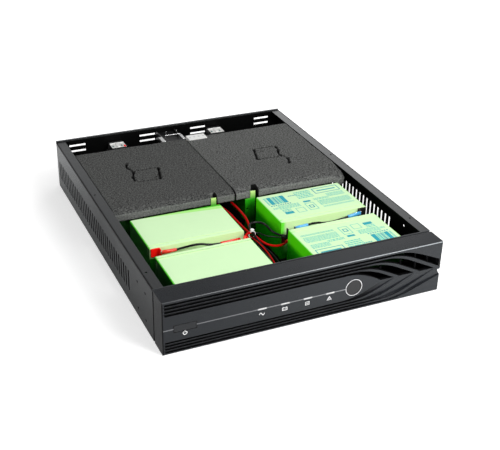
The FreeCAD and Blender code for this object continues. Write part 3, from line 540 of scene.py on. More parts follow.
# Red holders are painted dark low down as painted shade.
paint(mixed(slope(where(tree)[2], 0.060, 0.050), so_far(tree), (0.05, 0.0006, 0.0005, 1)))
block_black = finish(
    "block_black", (0.004, 0.004, 0.0045), (0.010, 0.010, 0.011), fine=900, broad=30, speckle=0.4,
    smooth=0.35, rough=0.5, bump=0.00003, reach=0.0006, edge=(0.03, 0.03, 0.033), Specular_IOR_Level=0.35)
tinned = finish(
    "tinned_blade", (0.62, 0.62, 0.60), (0.80, 0.80, 0.78), fine=1600, broad=80, speckle=0.5, smooth=0.18,
    rough=0.34, bump=0.00002, Metallic=1.0)
for row in "abcd":
    dress(block_red, "terminal_high_%s_left" % row, "terminal_low_%s_right" % row)
    dress(block_black, "terminal_high_%s_right" % row, "terminal_low_%s_left" % row)

BLADE_IN, BLADE_OUT = 0.008, 0.0012
HALF_BLADE = Vector((0, 0.0004, 0.0026))
for place, sleeve, mouth in (("a_left", "sleeve_red_front", 1), ("b_left", "sleeve_red_back", -1),
                             ("a_right", "sleeve_blue_front", -1), ("b_right", "sleeve_blue_back", 1)):
    low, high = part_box(sleeve)
    middle = (low + high) / 2
    mouth_x = high.x if mouth > 0 else low.x
    start, end = (Vector((at, middle.y, middle.z)) for at in sorted((mouth_x - mouth * BLADE_IN,
                                                                     mouth_x + mouth * BLADE_OUT)))
    bm = bmesh.new()
    soft_block(bm, start - HALF_BLADE, end + HALF_BLADE, 0.0002, 1)
    finished_piece("blade_" + place, bm, tinned)


# Foam pads: two sheets of grey closed-cell foam laid over the rear batteries, cut with a knife.
# The front edge sags into the gap, and each pad has a half-cut plug outline that was never pushed out.
# Cuts and dashes are lines of points in millimetres; a notch is its ends in x and its reach to the back.
# The cuts, the seam between the pads and the notches are painted dark as painted shade.
VOXEL = 0.0013
SEAM_LIP, SEAM_HALF = 0.0006, 0.0014
FRONT_REACH, FRONT_LIFT = 0.022, 0.0028
DROOP_START, DROOP_OVER, DROOP_REACH, CORNER_DROOP = 0.182, 0.010, 0.05, 0.006
CUT_DEEP = 0.0045
LEFT_CUTS = [[(-130, 153.5), (-135, 139.5), (-131, 126.5), (-129, 120), (-130.5, 112.5), (-136, 100),
              (-137.5, 83.5)],
             [(-85, 118.5), (-95, 78.5)]]
LEFT_DASHES = [[(-129, 120.5), (-86, 120.0)], [(-133, 79.0), (-96, 77.0)], [(-101, 85.5), (-92, 91.0)]]
RIGHT_CUTS = [[(97.5, 128.5), (86, 88.5)],
              [(138, 127.5), (137.5, 112.5), (131, 97.5), (131, 86.5), (137.5, 75), (136, 65), (131, 53.5)]]
RIGHT_DASHES = [[(98, 129.5), (137, 129.0)], [(87, 86.0), (131, 85.0)], [(99, 122.0), (108, 116.0)]]


def foam_sheet(name, shade, rear):
    """Speckled foam with a paler front face, partly cut cells and partly painted light, knife cuts painted
    black as painted shade, and a rear painted brighter as painted light.
    """
    dark, light = ([shade * part for part in tone]
                   for tone in ((0.003, 0.0031, 0.0030), (0.152, 0.155, 0.150)))
    made = finish(
        name, dark, light, fine=430, broad=22, speckle=0.97, smooth=0.8, rough=0.98, bump=0.0012,
        Specular_IOR_Level=0.15)
    tree = made.node_tree
    slit = tree.nodes.new("ShaderNodeAttribute")
    slit.attribute_name = "cut_and_gap_shade"
    # Faces turned to the front are painted paler, partly for the open cut cells and partly as painted light.
    front_cut_face_and_light = slope(where(tree, "Normal")[1], -0.5, -0.95)
    tone = mixed(front_cut_face_and_light, so_far(tree), (0.085, 0.087, 0.083, 1), "ADD")
    # Knife cuts, the seam between the pads and the notches are painted black as painted shade.
    tone = mixed(slit.outputs["Fac"], tone, (0.003, 0.003, 0.003, 1))
    # The colour is painted brighter towards the rear as painted light.
    paint(mixed(1, tone, slope(where(tree)[1], 0.0, 0.2, 1, rear), "MULTIPLY"))
    return made


def how_far(spot, line):
    """Distance from a spot to a line of points, and how far along the line that is."""
    best, along, run = 1e9, 0.0, 0.0
    for a, b in zip(line, line[1:]):
        a, b = Vector(a), Vector(b)
        part = max(0.0, min(1.0, (spot - a).dot(b - a) / (b - a).length_squared))
        gap = (spot - a.lerp(b, part)).length
        if gap < best:
            best, along = gap, run + part * (b - a).length
        run += (b - a).length
    return best, along


def foam_pad(node, cuts, dashes, notch, foam):
    block = nodes[node].data.copy()
    bm = bmesh.new()
    bm.from_mesh(block)
    bmesh.ops.remove_doubles(bm, verts=bm.verts, dist=1e-5)
    bm.to_mesh(block)
    bm.free()
    rough = bpy.data.objects.new("rough_" + node, block)
    scene.collection.objects.link(rough)
    cells = rough.modifiers.new("cells", "REMESH")
    cells.mode, cells.voxel_size = "VOXEL", VOXEL
    dense = bpy.data.meshes.new_from_object(rough.evaluated_get(bpy.context.evaluated_depsgraph_get()))
    bpy.data.objects.remove(rough)
    bm = bmesh.new()
    bm.from_mesh(dense)
    bmesh.ops.smooth_vert(bm, verts=bm.verts, factor=0.5, use_axis_x=True, use_axis_y=True, use_axis_z=True)
    bm.normal_update()
    shade_mark = bm.verts.layers.float.new("cut_and_gap_shade")
    low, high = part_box(node)
    for v in bm.verts:
        fall = max(0.0, 1 - (v.co.y - low.y) / FRONT_REACH)
        v.co.z += FRONT_LIFT * fall * min(1.0, (v.co.z - low.z) / 0.010)
        droop = max(0.0, min(1.0, (v.co.x - DROOP_START) / DROOP_OVER))
        v.co.z -= CORNER_DROOP * (droop * max(0.0, 1 - (v.co.y - low.y) / DROOP_REACH))
        if abs(v.co.x) < SEAM_LIP:
            v.co += v.normal * 0.0002
        # The seam between the pads is painted darker towards the front as painted shade.
        if abs(v.co.x) < SEAM_HALF:
            v[shade_mark] = 0.35 + 0.45 * max(0.0, 1 - (v.co.y - low.y) / 0.10)
            continue
        # Each notch is painted black as painted shade.
        if notch[0] < v.co.x * 1000 < notch[1] and v.co.y < low.y + notch[2] / 1000:
            v[shade_mark] = 1.0
            continue
        v.co += v.normal * (noise.noise(v.co * 24) * 0.0006 + noise.noise(v.co * 90) * 0.00025 - 0.0003)
        if v.co.z < high.z - 0.008 or v.normal.z < 0.4:
            continue
        spot = v.co.xy * 1000
        depth = 0.0
        for line in cuts:
            gap, along = how_far(spot, line)
            depth = max(depth, 1 - gap / (2.5 + 0.8 * math.sin(along * 0.35)))
        for line in dashes:
            gap, along = how_far(spot, line)
            if math.sin(along * 0.9) > -0.45:
                depth = max(depth, 1 - gap / 3.0)
        # A cut is sunk and painted dark as painted shade.
        if depth > 0:
            v.co.z -= CUT_DEEP * min(1.0, depth * 1.6)
            v[shade_mark] = min(1.0, depth * 2.6)
    for face in bm.faces:
        face.smooth = True
    pad = finished_piece("soft_" + node, bm, foam)
    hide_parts(node)


# The left pad is painted darker and the right one lighter as painted light.
foam_pad("foam_pad_left", LEFT_CUTS, LEFT_DASHES, (-38.5, -31.5, 11.5),
         foam_sheet("foam_left", 0.86, 1.08))
foam_pad("foam_pad_right", RIGHT_CUTS, RIGHT_DASHES, (32.5, 41.5, 14.5),
         foam_sheet("foam_right", 1.15, 1.22))


# Stop posts: two green moulded posts that stand on the tray floor and keep the rear batteries in place.
# They are moulded in a clearer green than the cases; the colour is painted pale at the tip as painted light
# and darker towards the floor as painted shade.
post_plastic = finish(
    "post_plastic", (0.90, 0.92, 0.90), (1, 1, 1), fine=900, broad=30, speckle=0.3, smooth=0.3, rough=0.45,
    bump=0.00003, reach=0.0008, edge=(1, 1, 1), Specular_IOR_Level=0.4)
tree = post_plastic.node_tree
z = where(tree)[2]
# Painted light at the tip and painted shade low down.
post_light_and_shade = mixed(slope(z, 0.064, 0.077), (0.02, 0.42, 0.006, 1), (0.66, 1.0, 0.31, 1))
post_light_and_shade = mixed(slope(z, 0.064, 0.030), post_light_and_shade, (0.004, 0.09, 0.002, 1))
paint(mixed(1.0, post_light_and_shade, so_far(tree), "MULTIPLY"))
dress(post_plastic, "stop_post_left", "stop_post_right")


# Rear bay: a black breaker in a bright folded bracket, a white junction block and two panel connectors.
# The bracket is zinc-plated steel; the block is moulded nylon, and so are the connectors, in a dark shell.
zinc = finish(
    "zinc_plate", (0.52, 0.53, 0.54), (0.78, 0.78, 0.77), fine=500, broad=40, speckle=0.4, smooth=0.22,
    rough=0.42, bump=0.00003, reach=0.0006, edge=(0.9, 0.9, 0.9), Metallic=1.0)
nylon = finish(
    "white_nylon", (0.78, 0.78, 0.76), (0.90, 0.90, 0.88), fine=800, broad=30, speckle=0.4, smooth=0.35,
    rough=0.55, bump=0.00004, reach=0.0008, edge=(0.88, 0.88, 0.86))
dress(zinc, "breaker_bracket")
dress(block_black, "breaker")
dress(nylon, "junction_block")
tree = zinc.node_tree
paint(mixed(slope(where(tree)[1], 0.246, 0.251), so_far(tree), (0.05, 0.05, 0.052, 1)))

wire = finish(
    "bail_wire", (0.55, 0.55, 0.56), (0.78, 0.78, 0.78), fine=900, broad=60, speckle=0.4, smooth=0.25,
    rough=0.4, bump=0.00002, Metallic=1.0)
bracket_top, breaker_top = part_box("breaker_bracket")[1].z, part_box("breaker")[1].z
bm = bmesh.new()
for low, high in (((-0.0265, 0.2490, bracket_top - 0.0001), (0.0040, 0.2502, bracket_top + 0.0011)),
                  ((-0.0206, 0.2620, breaker_top), (-0.0194, 0.2632, breaker_top + 0.0080)),
                  ((0.0000, 0.2620, bracket_top - 0.0001), (0.0012, 0.2632, bracket_top + 0.0032))):
    soft_block(bm, low, high, 0.0004)
finished_piece("breaker_bail", bm, wire)

socket_nylon = finish(
    "socket_nylon", (0.62, 0.62, 0.60), (0.80, 0.80, 0.78), fine=800, broad=30, speckle=0.5, smooth=0.4,
    rough=0.6, bump=0.00004, reach=0.0008, edge=(0.8, 0.8, 0.78))
tree = socket_nylon.node_tree
shell = either(under(where(tree, "Normal")[2], 0.5), over(where(tree)[1], 0.2745))
paint(mixed(shell, so_far(tree), (0.012, 0.012, 0.013, 1)))
dress(socket_nylon, "rear_connector_left", "rear_connector_right")
contact = finish(
    "contact_green", (0.02, 0.10, 0.09), (0.04, 0.16, 0.14), fine=900, broad=60, speckle=0.5, smooth=0.35,
    rough=0.5, bump=0.00002)
SUNK = 0.0010
for side in ("left", "right"):
    low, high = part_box("rear_connector_" + side)
    middle, top = (low.x + high.x) / 2, high.z
    bm = bmesh.new()
    for x in (middle - 0.0100, middle + 0.0060):
        soft_block(bm, (x - 0.0014, 0.2580, top - SUNK), (x + 0.0014, 0.2620, top + 0.0005), 0.0003, 1)
    finished_piece("contacts_" + side, bm, contact)
    bm = bmesh.new()
    soft_block(bm, (middle - 0.0034, 0.2540, top - SUNK), (middle + 0.0024, 0.2740, top + 0.0014), 0.0006)
    soft_block(bm, (middle - 0.0126, 0.2710, top - SUNK), (middle + 0.0126, 0.2740, top + 0.0010), 0.0005)
    finished_piece("latch_" + side, bm, nylon)
bm = bmesh.new()
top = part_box("rear_connector_left")[1].z
soft_block(bm, (-0.1026, 0.2530, top - SUNK), (-0.0996, 0.2600, top + 0.0008), 0.0004)
finished_piece("key_red", bm, block_red)

SCREWS = 4
low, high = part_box("junction_block")
bm = bmesh.new()
for k in range(SCREWS):
    x = low.x + (high.x - low.x) * (k + 0.5) / SCREWS
    head = Matrix.Translation((x, (low.y + high.y) / 2, high.z - 0.0003))
    bmesh.ops.create_cone(bm, cap_ends=True, segments=20, radius1=0.0022, radius2=0.0020, depth=0.0010,
                          matrix=head)
finished_piece("junction_screws", bm, wire)


# Spade sleeves: soft vinyl pushed over the spade on each lead's end, red on the left and blue on the right.
# Each is wide and flat at its mouth and narrows to the lead. Its shape is a list of the share of the length,
# half the depth and half the height, from the lead to the mouth.
SLEEVE_SHAPE = ((0.0, 0.00235, 0.00235), (0.10, 0.00255, 0.00255), (0.38, 0.00255, 0.0026),
                (0.52, 0.0023, 0.0030), (0.62, 0.00205, 0.00325), (1.0, 0.0019, 0.00325))
SLEEVE_WALL = 0.0005


def vinyl(name, dark, light):
    return finish(
        name, dark, light, fine=1100, broad=50, speckle=0.4, smooth=0.25, rough=0.4, bump=0.00003,
        Coat_Weight=0.15)


vinyl_red = vinyl("vinyl_red", (0.72, 0.020, 0.008), (0.88, 0.055, 0.025))
vinyl_blue = vinyl("vinyl_blue", (0.045, 0.33, 0.72), (0.10, 0.46, 0.86))


def spade_sleeve(node, material, mouth, rise=0.0, more=0.0):
    """mouth is +1 where the flat mouth is at the higher x, -1 at the lower; rise lifts the lead's end."""
    low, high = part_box(node)
    long = high.x - low.x + more
    along, deep, tall = SLEEVE_SHAPE[0]
    start = Vector((high.x - long if mouth > 0 else low.x + long, (low.y + high.y) / 2, (low.z + high.z) / 2))
    bm = bmesh.new()
    upright = Matrix.Translation(start) @ Matrix.Rotation(math.pi / 2, 4, "Y")
    bmesh.ops.create_circle(bm, segments=24, radius=deep, matrix=upright)
    edges = bm.edges[:]
    for part, new_deep, new_tall in SLEEVE_SHAPE[1:]:
        grown = bmesh.ops.extrude_edge_only(bm, edges=edges)["geom"]
        ring = [g for g in grown if isinstance(g, bmesh.types.BMVert)]
        edges = [g for g in grown if isinstance(g, bmesh.types.BMEdge)]
        bmesh.ops.translate(bm, vec=(mouth * (part - along) * long, 0, 0), verts=ring)
        bmesh.ops.scale(bm, vec=(1, new_deep / deep, new_tall / tall), space=Matrix.Translation(-start),
                        verts=ring)
        along, deep, tall = part, new_deep, new_tall
    if rise:
        far = Matrix.Translation(-(start + Vector((mouth * long, 0, 0))))
        bmesh.ops.rotate(bm, cent=(0, 0, 0), matrix=Matrix.Rotation(mouth * math.atan(rise / long), 3, "Y"),
                         space=far, verts=bm.verts)
    bmesh.ops.recalc_face_normals(bm, faces=bm.faces)
    for face in bm.faces:
        face.smooth = True
    made = finished_piece("boot_" + node, bm, material)
    wall = made.modifiers.new("wall", "SOLIDIFY")
    wall.thickness, wall.offset = SLEEVE_WALL, -1
    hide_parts(node)


spade_sleeve("sleeve_red_back", vinyl_red, -1)
spade_sleeve("sleeve_red_front", vinyl_red, 1, more=0.0065)
spade_sleeve("sleeve_blue_back", vinyl_blue, 1, rise=-0.0025)
spade_sleeve("sleeve_blue_front", vinyl_blue, -1, rise=0.0022)


# Leads: stranded copper in soft vinyl, cut to length and crimped, laid in the channel by hand.
# The thick ones carry the batteries' current; the two thin ones run forward to the lamp board.
lead_red = finish(
    "lead_red", (0.40, 0.001, 0.001), (0.54, 0.002, 0.002), fine=1500, broad=60, speckle=0.4, smooth=0.5,
    rough=0.65, bump=0.00003, Specular_IOR_Level=0.06)
lead_black = finish(
    "lead_black", (0.0010, 0.0010, 0.0012), (0.0030, 0.0030, 0.0034), fine=1500, broad=60, speckle=0.4,
    smooth=0.24, rough=0.36, bump=0.00003, Specular_IOR_Level=0.22)
THICK, THIN = 0.0035, 0.0020


def lead(node, thick, material, points):
    curve = bpy.data.curves.new("laid_" + node, "CURVE")
    curve.dimensions = "3D"
    curve.bevel_depth, curve.bevel_resolution, curve.use_fill_caps = thick / 2, 4, True
    curve.resolution_u = 10
    spline = curve.splines.new("NURBS")
    spline.points.add(len(points) - 1)
    for point, at in zip(spline.points, points):
        point.co = (*at, 1)
    spline.order_u = 3
    spline.use_endpoint_u = True
    curve.materials.append(material)
    made = bpy.data.objects.new("laid_" + node, curve)
    scene.collection.objects.link(made)
    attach(made, "case")
    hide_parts(node)
    return points


lead("link_lead_left", THICK, lead_black, [
    (-0.1436, -0.1315, 0.06855), (-0.1300, -0.1325, 0.07055), (-0.1080, -0.1345, 0.07255),
    (-0.0920, -0.1365, 0.06755), (-0.0770, -0.1375, 0.06755)])
lead("link_lead_right", THICK, lead_black, [
    (0.1436, -0.1315, 0.06605), (0.1280, -0.1325, 0.06355), (0.1020, -0.1345, 0.06455),
    (0.0840, -0.1355, 0.07000), (0.0704, -0.1375, 0.06975)])
red_left = lead("red_lead_left", THICK, lead_red, [
    (-0.0314, 0.1085, 0.04473), (-0.0195, 0.0940, 0.04623), (-0.0225, 0.0730, 0.04973),
    (-0.0250, 0.0425, 0.05490), (-0.0260, -0.0005, 0.05790), (-0.0278, -0.0485, 0.06950),
    (-0.0278, -0.0865, 0.07050), (-0.0250, -0.1175, 0.06800), (-0.0248, -0.1325, 0.07220),
    (-0.0335, -0.1330, 0.07300), (-0.0378, -0.1390, 0.06700)])
red_right = lead("red_lead_right", THICK, lead_red, [
    (0.0314, 0.1085, 0.04473), (0.0145, 0.0920, 0.04673), (0.0080, 0.0650, 0.05173),
    (0.0025, 0.0395, 0.05490), (-0.0020, -0.0015, 0.05840), (-0.0085, -0.0445, 0.06970),
    (-0.0100, -0.0865, 0.07000), (-0.0185, -0.1165, 0.06720), (-0.0190, -0.1355, 0.06720),
    (-0.0100, -0.1535, 0.06080), (0.0080, -0.1505, 0.05150), (0.0270, -0.1440, 0.04680),
    (0.0395, -0.1310, 0.04473)])
black = lead("black_lead", THICK, lead_black, [
    (0.0312, -0.1395, 0.05850), (0.0150, -0.1320, 0.06100), (0.0080, -0.1060, 0.07250),
    (-0.0180, -0.1035, 0.07250), (-0.02100, -0.1350, 0.07080), (-0.0180, -0.1555, 0.06150),
    (-0.0050, -0.1765, 0.05190), (0.0000, -0.2005, 0.03590), (0.0020, -0.1965, 0.01290),
    (0.0000, -0.1665, 0.00740), (-0.0040, -0.1245, 0.00640), (0.0000, -0.0665, 0.00790),
    (-0.0050, -0.0085, 0.00640), (-0.0010, 0.0495, 0.00790), (-0.0060, 0.1075, 0.00640),
    (-0.0030, 0.1635, 0.00840), (-0.0090, 0.2075, 0.02540), (-0.0110, 0.2299, 0.04340)])
thin_red = lead("front_lead_red", THIN, lead_red, [
    (-0.0321, -0.1260, 0.04673), (-0.0260, -0.1145, 0.05400), (-0.0229, -0.1245, 0.06410),
    (-0.0229, -0.1395, 0.06500), (-0.0240, -0.1585, 0.06950), (-0.0238, -0.1855, 0.07010),
    (-0.0255, -0.2145, 0.06860), (-0.0265, -0.2385, 0.06190), (-0.0265, -0.2525, 0.05490),
    (-0.0265, -0.2667, 0.05190)])
thin_black = lead("front_lead_black", THIN, lead_black, [
    (0.0321, -0.1390, 0.05500), (0.0170, -0.1335, 0.05700), (0.0000, -0.1295, 0.06050),
    (-0.0070, -0.1195, 0.06300), (-0.0206, -0.1205, 0.06400), (-0.0206, -0.1385, 0.06410),
    (-0.0230, -0.1605, 0.06090), (-0.0210, -0.1855, 0.05990), (-0.0200, -0.2145, 0.06090),
    (-0.0195, -0.2385, 0.05990), (-0.0195, -0.2525, 0.05490), (-0.0195, -0.2667, 0.05190)])


# Lead boots: short vinyl boots over the leads' crimped ends, each with a rolled rim.
# A boot is given the route of its lead, counted from the end that it sits on.
THICK_BOOT, THIN_BOOT, BOOT_OVER, BOOT_RIM = (0.0050, 0.007), (0.0027, 0.005), 0.0016, 0.0003
for name, route in (("red_left_rear", red_left), ("red_left_front", red_left[::-1]),
                    ("red_right_rear", red_right), ("red_right_front", red_right[::-1]),
                    ("black_front", black), ("black_rear", black[::-1]),
                    ("thin_red", thin_red), ("thin_black", thin_black)):
    wide, long = THIN_BOOT if name.startswith("thin") else THICK_BOOT
    material, slot = (vinyl_red, "sleeve_red") if "red" in name else (block_black, "lead_black")
    at = Vector(route[0])
    way = (Vector(route[1]) - at).normalized()
    turned = way.to_track_quat("Z", "X").to_matrix().to_4x4()
    bm = bmesh.new()
    bmesh.ops.create_cone(bm, cap_ends=True, segments=20, radius1=wide / 2, radius2=wide / 2, depth=long,
                          matrix=Matrix.Translation(at + way * (long / 2 - BOOT_OVER)) @ turned)
    ends = [face for face in bm.faces if len(face.verts) > 4]
    bmesh.ops.inset_region(bm, faces=ends, thickness=BOOT_RIM, depth=BOOT_RIM)
    for face in bm.faces:
        face.smooth = len(face.verts) == 4
    finished_piece("boot_" + name, bm, material)


# Cable tie: a white nylon strap drawn round the bundle, its square head on top.
# It is moulded in one piece and the tail is cut off close to the head.
tie_nylon = finish(
    "tie_nylon", (0.80, 0.80, 0.79), (0.90, 0.90, 0.89), fine=900, broad=60, speckle=0.4, smooth=0.3,
    rough=0.45, bump=0.00002)
TIE_MIDDLE, TIE_WIDE, TIE_TALL = Vector((-0.0217, -0.1305, 0.0681)), 0.0057, 0.0060
STRAP_HALF, STRAP_THICK = 0.0012, 0.0009
HEAD_BELOW, HEAD_ABOVE = Vector((0.0024, 0.0022, 0.0006)), Vector((0.0024, 0.0022, 0.0034))
bm = bmesh.new()
upright = Matrix.Translation(TIE_MIDDLE - Vector((0, STRAP_HALF, 0))) @ Matrix.Rotation(math.pi / 2, 4, "X")
ring = bmesh.ops.create_circle(bm, segments=40, radius=1, matrix=upright)["verts"]
bmesh.ops.scale(bm, vec=(TIE_WIDE, 1, TIE_TALL), space=Matrix.Translation(-TIE_MIDDLE), verts=ring)
strap = bmesh.ops.extrude_edge_only(bm, edges=bm.edges[:])["geom"]
bmesh.ops.translate(bm, vec=(0, 2 * STRAP_HALF, 0),
                    verts=[g for g in strap if isinstance(g, bmesh.types.BMVert)])
bmesh.ops.recalc_face_normals(bm, faces=bm.faces)
bmesh.ops.solidify(bm, geom=bm.faces[:], thickness=STRAP_THICK)
tie_top = TIE_MIDDLE + Vector((0, 0, TIE_TALL))
soft_block(bm, tie_top - HEAD_BELOW, tie_top + HEAD_ABOVE, 0.0006)
strap = finished_piece("tie_strap", bm, tie_nylon)
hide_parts("cable_tie")


# Lamp board: a green circuit board clipped behind the bezel, with four lamps and the button's switch.
# It is glass-fibre sheet under a green lacquer.
board_green = finish(
    "board_lacquer", (0.004, 0.024, 0.007), (0.008, 0.045, 0.014), fine=500, broad=60, speckle=0.5,
    smooth=0.25, rough=0.4, bump=0.00003)
dress(board_green, "light_board")


# Bezel: the ribbed and louvred front, injection moulded in charcoal plastic with a fine spark-eroded grain.
# It clips on the front of the tray; its long edges are rubbed a little bright and partly painted bright as a
# painted highlight.
FRONT = cad_low.y
RIB_SHADE, BUTTON_GAP = 0.16, 0.0009
RIB_BANDS = (0.0045, 0.0202, 0.0057, 0.00495), (0.0622, 0.0795, 0.0645, 0.0054)
bezel_plastic = finish(
    "bezel_plastic", (0.0110, 0.0122, 0.0145), (0.0160, 0.0175, 0.0205), fine=1700, broad=10, speckle=0.4,
    smooth=0.24, rough=0.34, bump=0.00003, reach=0.0007, edge=(0.05, 0.05, 0.053), Specular_IOR_Level=0.10,
    Coat_Roughness=0.26, Coat_Tint=(0.86, 0.95, 1, 1))
tree = bezel_plastic.node_tree
x, y, z = where(tree)
facing_x, facing_y, facing_z = where(tree, "Normal")
# Recesses behind the front face are painted near black as painted shade, except the neck and the lower right
# scoops.
recess_shade = both(over(y, FRONT + 0.0007), under(z, cad_high.z - 0.0015))
recess_shade = both(recess_shade, between(x, cad_low.x + INSET, cad_high.x - INSET))
neck = both(over(y, FRONT + 0.031), over(facing_z, 0.7))
recess_shade = worked("SUBTRACT", recess_shade, both(recess_shade, neck))
left_part = slope(x, 0.070, 0.125, 1, 0)
recess_shade = both(recess_shade, either(over(z, 0.0407), left_part))
# The gaps between the ribs are painted near black as painted shade.
bands = []
for low, high, first, pitch in RIB_BANDS:
    step = worked("FRACT", worked("DIVIDE", worked("SUBTRACT", z, first), pitch))
    bands.append(both(between(z, low, high), under(step, RIB_SHADE)))
rib_gap_shade = both(either(*bands), left_part)
# The gap round the power button is painted black as painted shade.
low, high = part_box("power_button")
gap = both(between(x, low.x + BUTTON_GAP, high.x - BUTTON_GAP),
           between(z, low.z + BUTTON_GAP, high.z - BUTTON_GAP))
# The left side is painted darker as painted shade.
left_side_shade = under(facing_x, -0.7)
# The front left corner is painted black as painted shade.
corner = both(slope(x, cad_low.x + INSET, cad_low.x + 0.0018, 1, 0),
              slope(y, FRONT + INSET, FRONT + 0.0018, 1, 0))
# The top front edge is painted bright as a painted highlight that grows towards the right.
front_edge_highlight = both(under(y, FRONT + 0.0011), over(z, cad_high.z - 0.0012))
front_edge_highlight = both(front_edge_highlight, slope(x, -0.20, 0.16, 0.10, 0.95))
paint(layered(so_far(tree), (rib_gap_shade, (0.0012, 0.0012, 0.0014, 1)), (recess_shade, (0.0008, 0.0008, 0.0010, 1)),
              (gap, (0.001, 0.001, 0.001, 1)), (left_side_shade, (0.0065, 0.0072, 0.0085, 1)),
              (corner, (0.001, 0.001, 0.001, 1)), (front_edge_highlight, (0.34, 0.34, 0.345, 1))))
facing = worked("MULTIPLY_ADD", facing_y, -0.85, both(facing_z, 0.155))
gloss = worked("SUBTRACT", both(facing, slope(x, -0.22, 0.02, 0.5, 1)), either(either(recess_shade, corner), rib_gap_shade))
gloss.node.use_clamp = True
paint(gloss, "Coat Weight")
paint(worked("MULTIPLY_ADD", recess_shade, 0.5, so_far(tree, "Roughness")), "Roughness")
dress(bezel_plastic, "front_bezel")

# A black wall closes the right end of the louvres; it is coloured near black as painted shade.
bm = bmesh.new()
soft_block(bm, (cad_high.x - 0.0032, FRONT + 0.0008, 0.0372),
           (cad_high.x - 0.0003, FRONT + 0.0150, 0.0668), 0.0002)
finished_piece("louvre_end_shade_wall", bm, block_black)


# Light strip: a pale bar let into the bezel with four clear windows, and beside it the bare badge disc in
# its ring. All are clear, pale or dark moulded plastic, pressed in from the front.
strip_plastic = finish(
    "strip_plastic", (0.92, 0.92, 0.92), (1, 1, 1), fine=900, broad=20, speckle=0.3, smooth=0.25, rough=0.4,
    bump=0.00002)
tree = strip_plastic.node_tree
# The strip is painted darker at the left and lighter to the right as painted light.
tone = mixed(slope(where(tree)[0], -0.13, 0.05), (0.15, 0.154, 0.162, 1), (0.23, 0.236, 0.245, 1))
paint(mixed(1.0, tone, so_far(tree), "MULTIPLY"))
ring_white = finish(
    "ring_white", (0.78, 0.78, 0.79), (0.90, 0.90, 0.91), fine=900, broad=40, speckle=0.4, smooth=0.35,
    rough=0.5, bump=0.00002)
disc_dark = finish(
    "disc_dark", (0.016, 0.016, 0.0165), (0.026, 0.026, 0.0265), fine=900, broad=30, speckle=0.4, smooth=0.3,
    rough=0.42, bump=0.00002)
window_clear = finish(
    "window_clear", (0.62, 0.62, 0.62), (0.72, 0.72, 0.72), fine=900, broad=60, speckle=0.4, smooth=0.2,
    rough=0.35, bump=0.00002)
dress(strip_plastic, "light_strip_left", "light_strip_right")
RING_LINE = 0.0009
low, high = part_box("badge_ring")
middle, wide = (low + high) / 2, (high.x - low.x) / 2
tree = ring_white.node_tree
place, reach = tree.nodes.new("ShaderNodeTexCoord"), tree.nodes.new("ShaderNodeVectorMath")
reach.operation, reach.inputs[1].default_value = "DISTANCE", (middle.x, low.y, middle.z)
put(place.outputs["Object"], reach.inputs[0])
paint(mixed(under(reach.outputs["Value"], wide - RING_LINE), so_far(tree), (0.020, 0.020, 0.0205, 1)))
dress(ring_white, "badge_ring")
dress(disc_dark, "badge_disc")

STRIP_LEVEL, FIRST_WINDOW, WINDOW_PITCH = 0.0392, -0.0738, 0.0356
WINDOWS, WINDOW_SIZE = 4, (0.0130, 0.0006, 0.0022)
for k in range(WINDOWS):
    bm = bmesh.new()
    at = Matrix.Translation((FIRST_WINDOW + WINDOW_PITCH * k, FRONT - 0.0001, STRIP_LEVEL))
    bmesh.ops.create_cube(bm, size=1, matrix=at @ Matrix.Diagonal((*WINDOW_SIZE, 1)))
    bmesh.ops.bevel(bm, geom=bm.edges[:], offset=0.0002, segments=2, profile=0.5, affect="EDGES", material=-1)
    finished_piece("window_%d" % (k + 1), bm, window_clear)


# Power button: a charcoal moulded cap in the strip, sprung on the switch behind it.
# It is smoother than the bezel round it, and its edges are painted dark as painted shade.
button_plastic = finish(
    "button_plastic", (0.014, 0.0145, 0.016), (0.020, 0.0205, 0.0225), fine=1700, broad=16, speckle=0.3,
    smooth=0.32, rough=0.44, bump=0.00003, reach=0.0009, edge=(0.002, 0.002, 0.002), Specular_IOR_Level=0.10,
    Coat_Weight=0.55, Coat_Roughness=0.26, Coat_Tint=(0.90, 0.96, 1, 1))
dress(button_plastic, "power_button")


# Symbols: pale marks pad-printed on the bezel, under the button and under each window.
# They are plain line signs for power, mains, battery, load and fault.
SIGN_LEVEL, SIGN_UNIT = 30.8, 0.00082
sign_ink = finish(
    "sign_ink", (0.80, 0.80, 0.80), (0.92, 0.92, 0.92), fine=1500, broad=90, speckle=0.5, smooth=0.45,
    rough=0.6, bump=0.00001)


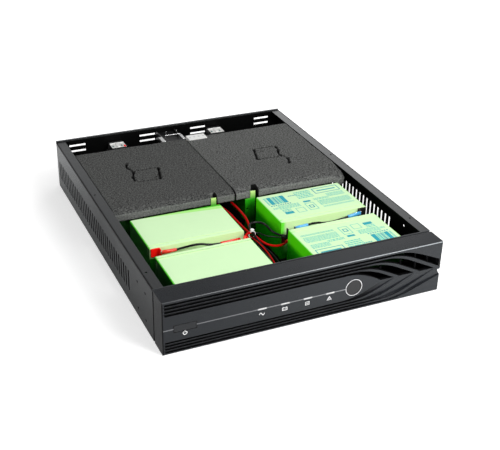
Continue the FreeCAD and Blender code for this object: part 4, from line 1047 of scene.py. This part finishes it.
def sign(name, x, z, line, strokes):
    """A line sign, placed in millimetres; each stroke is (kind, closed, points) in units from its middle."""
    curve = bpy.data.curves.new(name, "CURVE")
    curve.dimensions = "2D"
    curve.bevel_depth, curve.bevel_resolution, curve.resolution_u = line / 2000, 1, 6
    curve.fill_mode = "NONE"
    for kind, closed, points in strokes:
        spline = curve.splines.new(kind)
        spline.points.add(len(points) - 1)
        for point, (px, pz) in zip(spline.points, points):
            point.co = (px * SIGN_UNIT, pz * SIGN_UNIT, 0, 1)
        spline.use_cyclic_u = closed
        if kind == "NURBS":
            spline.order_u = 3
            spline.use_endpoint_u = not closed
    drawn = bpy.data.objects.new("drawn_" + name, curve)
    scene.collection.objects.link(drawn)
    flat = bpy.data.meshes.new_from_object(drawn.evaluated_get(bpy.context.evaluated_depsgraph_get()))
    bpy.data.objects.remove(drawn)
    bm = bmesh.new()
    bm.from_mesh(flat)
    bmesh.ops.remove_doubles(bm, verts=bm.verts, dist=1e-7)
    bmesh.ops.scale(bm, vec=(1, 1, 0.12), verts=bm.verts)
    stand = Matrix.Translation((x / 1000, FRONT, z / 1000)) @ Matrix.Rotation(math.pi / 2, 4, "X")
    bmesh.ops.transform(bm, matrix=stand, verts=bm.verts)
    finished_piece(name, bm, sign_ink)


turn = [(3.4 * math.sin(math.radians(a)), 3.4 * math.cos(math.radians(a))) for a in range(36, 325, 24)]
sign("sign_power", -187.8, 29.7, 1.2, [("NURBS", False, turn), ("POLY", False, [(0, 4.6), (0, 0.4)])])
sign("sign_mains", -74.0, SIGN_LEVEL, 1.2, [
    ("NURBS", False, [(-4.6, -1.2), (-3.6, 2.4), (-1.4, 2.4), (0, 0), (1.4, -2.4), (3.6, -2.4), (4.6, 1.2)])])
sign("sign_battery", -38.7, SIGN_LEVEL, 1.1, [
    ("POLY", True, [(-4.4, -3), (4.4, -3), (4.4, 2), (-4.4, 2)]),
    ("POLY", False, [(-2.8, 2.2), (-2.8, 3.6)]), ("POLY", False, [(2.8, 2.2), (2.8, 3.6)]),
    ("POLY", False, [(-3, -0.5), (-1.2, -0.5)]), ("POLY", False, [(1.2, -0.5), (3, -0.5)])])
sign("sign_load", -3.2, SIGN_LEVEL, 1.0, [
    ("POLY", True, [(-3.6, -3), (3.6, -3), (3.6, 3), (-3.6, 3)]),
    ("POLY", False, [(-1.8, -1.2), (-1.8, 0.4)]), ("POLY", False, [(0, -1.2), (0, 1.2)]),
    ("POLY", False, [(1.8, -1.2), (1.8, 1.6)])])
sign("sign_fault", 32.0, SIGN_LEVEL, 1.1, [
    ("POLY", True, [(-3.8, -3), (3.8, -3), (0, 3.4)]), ("POLY", False, [(-1.0, -1.4), (1.0, -1.4)])])


low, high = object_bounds()
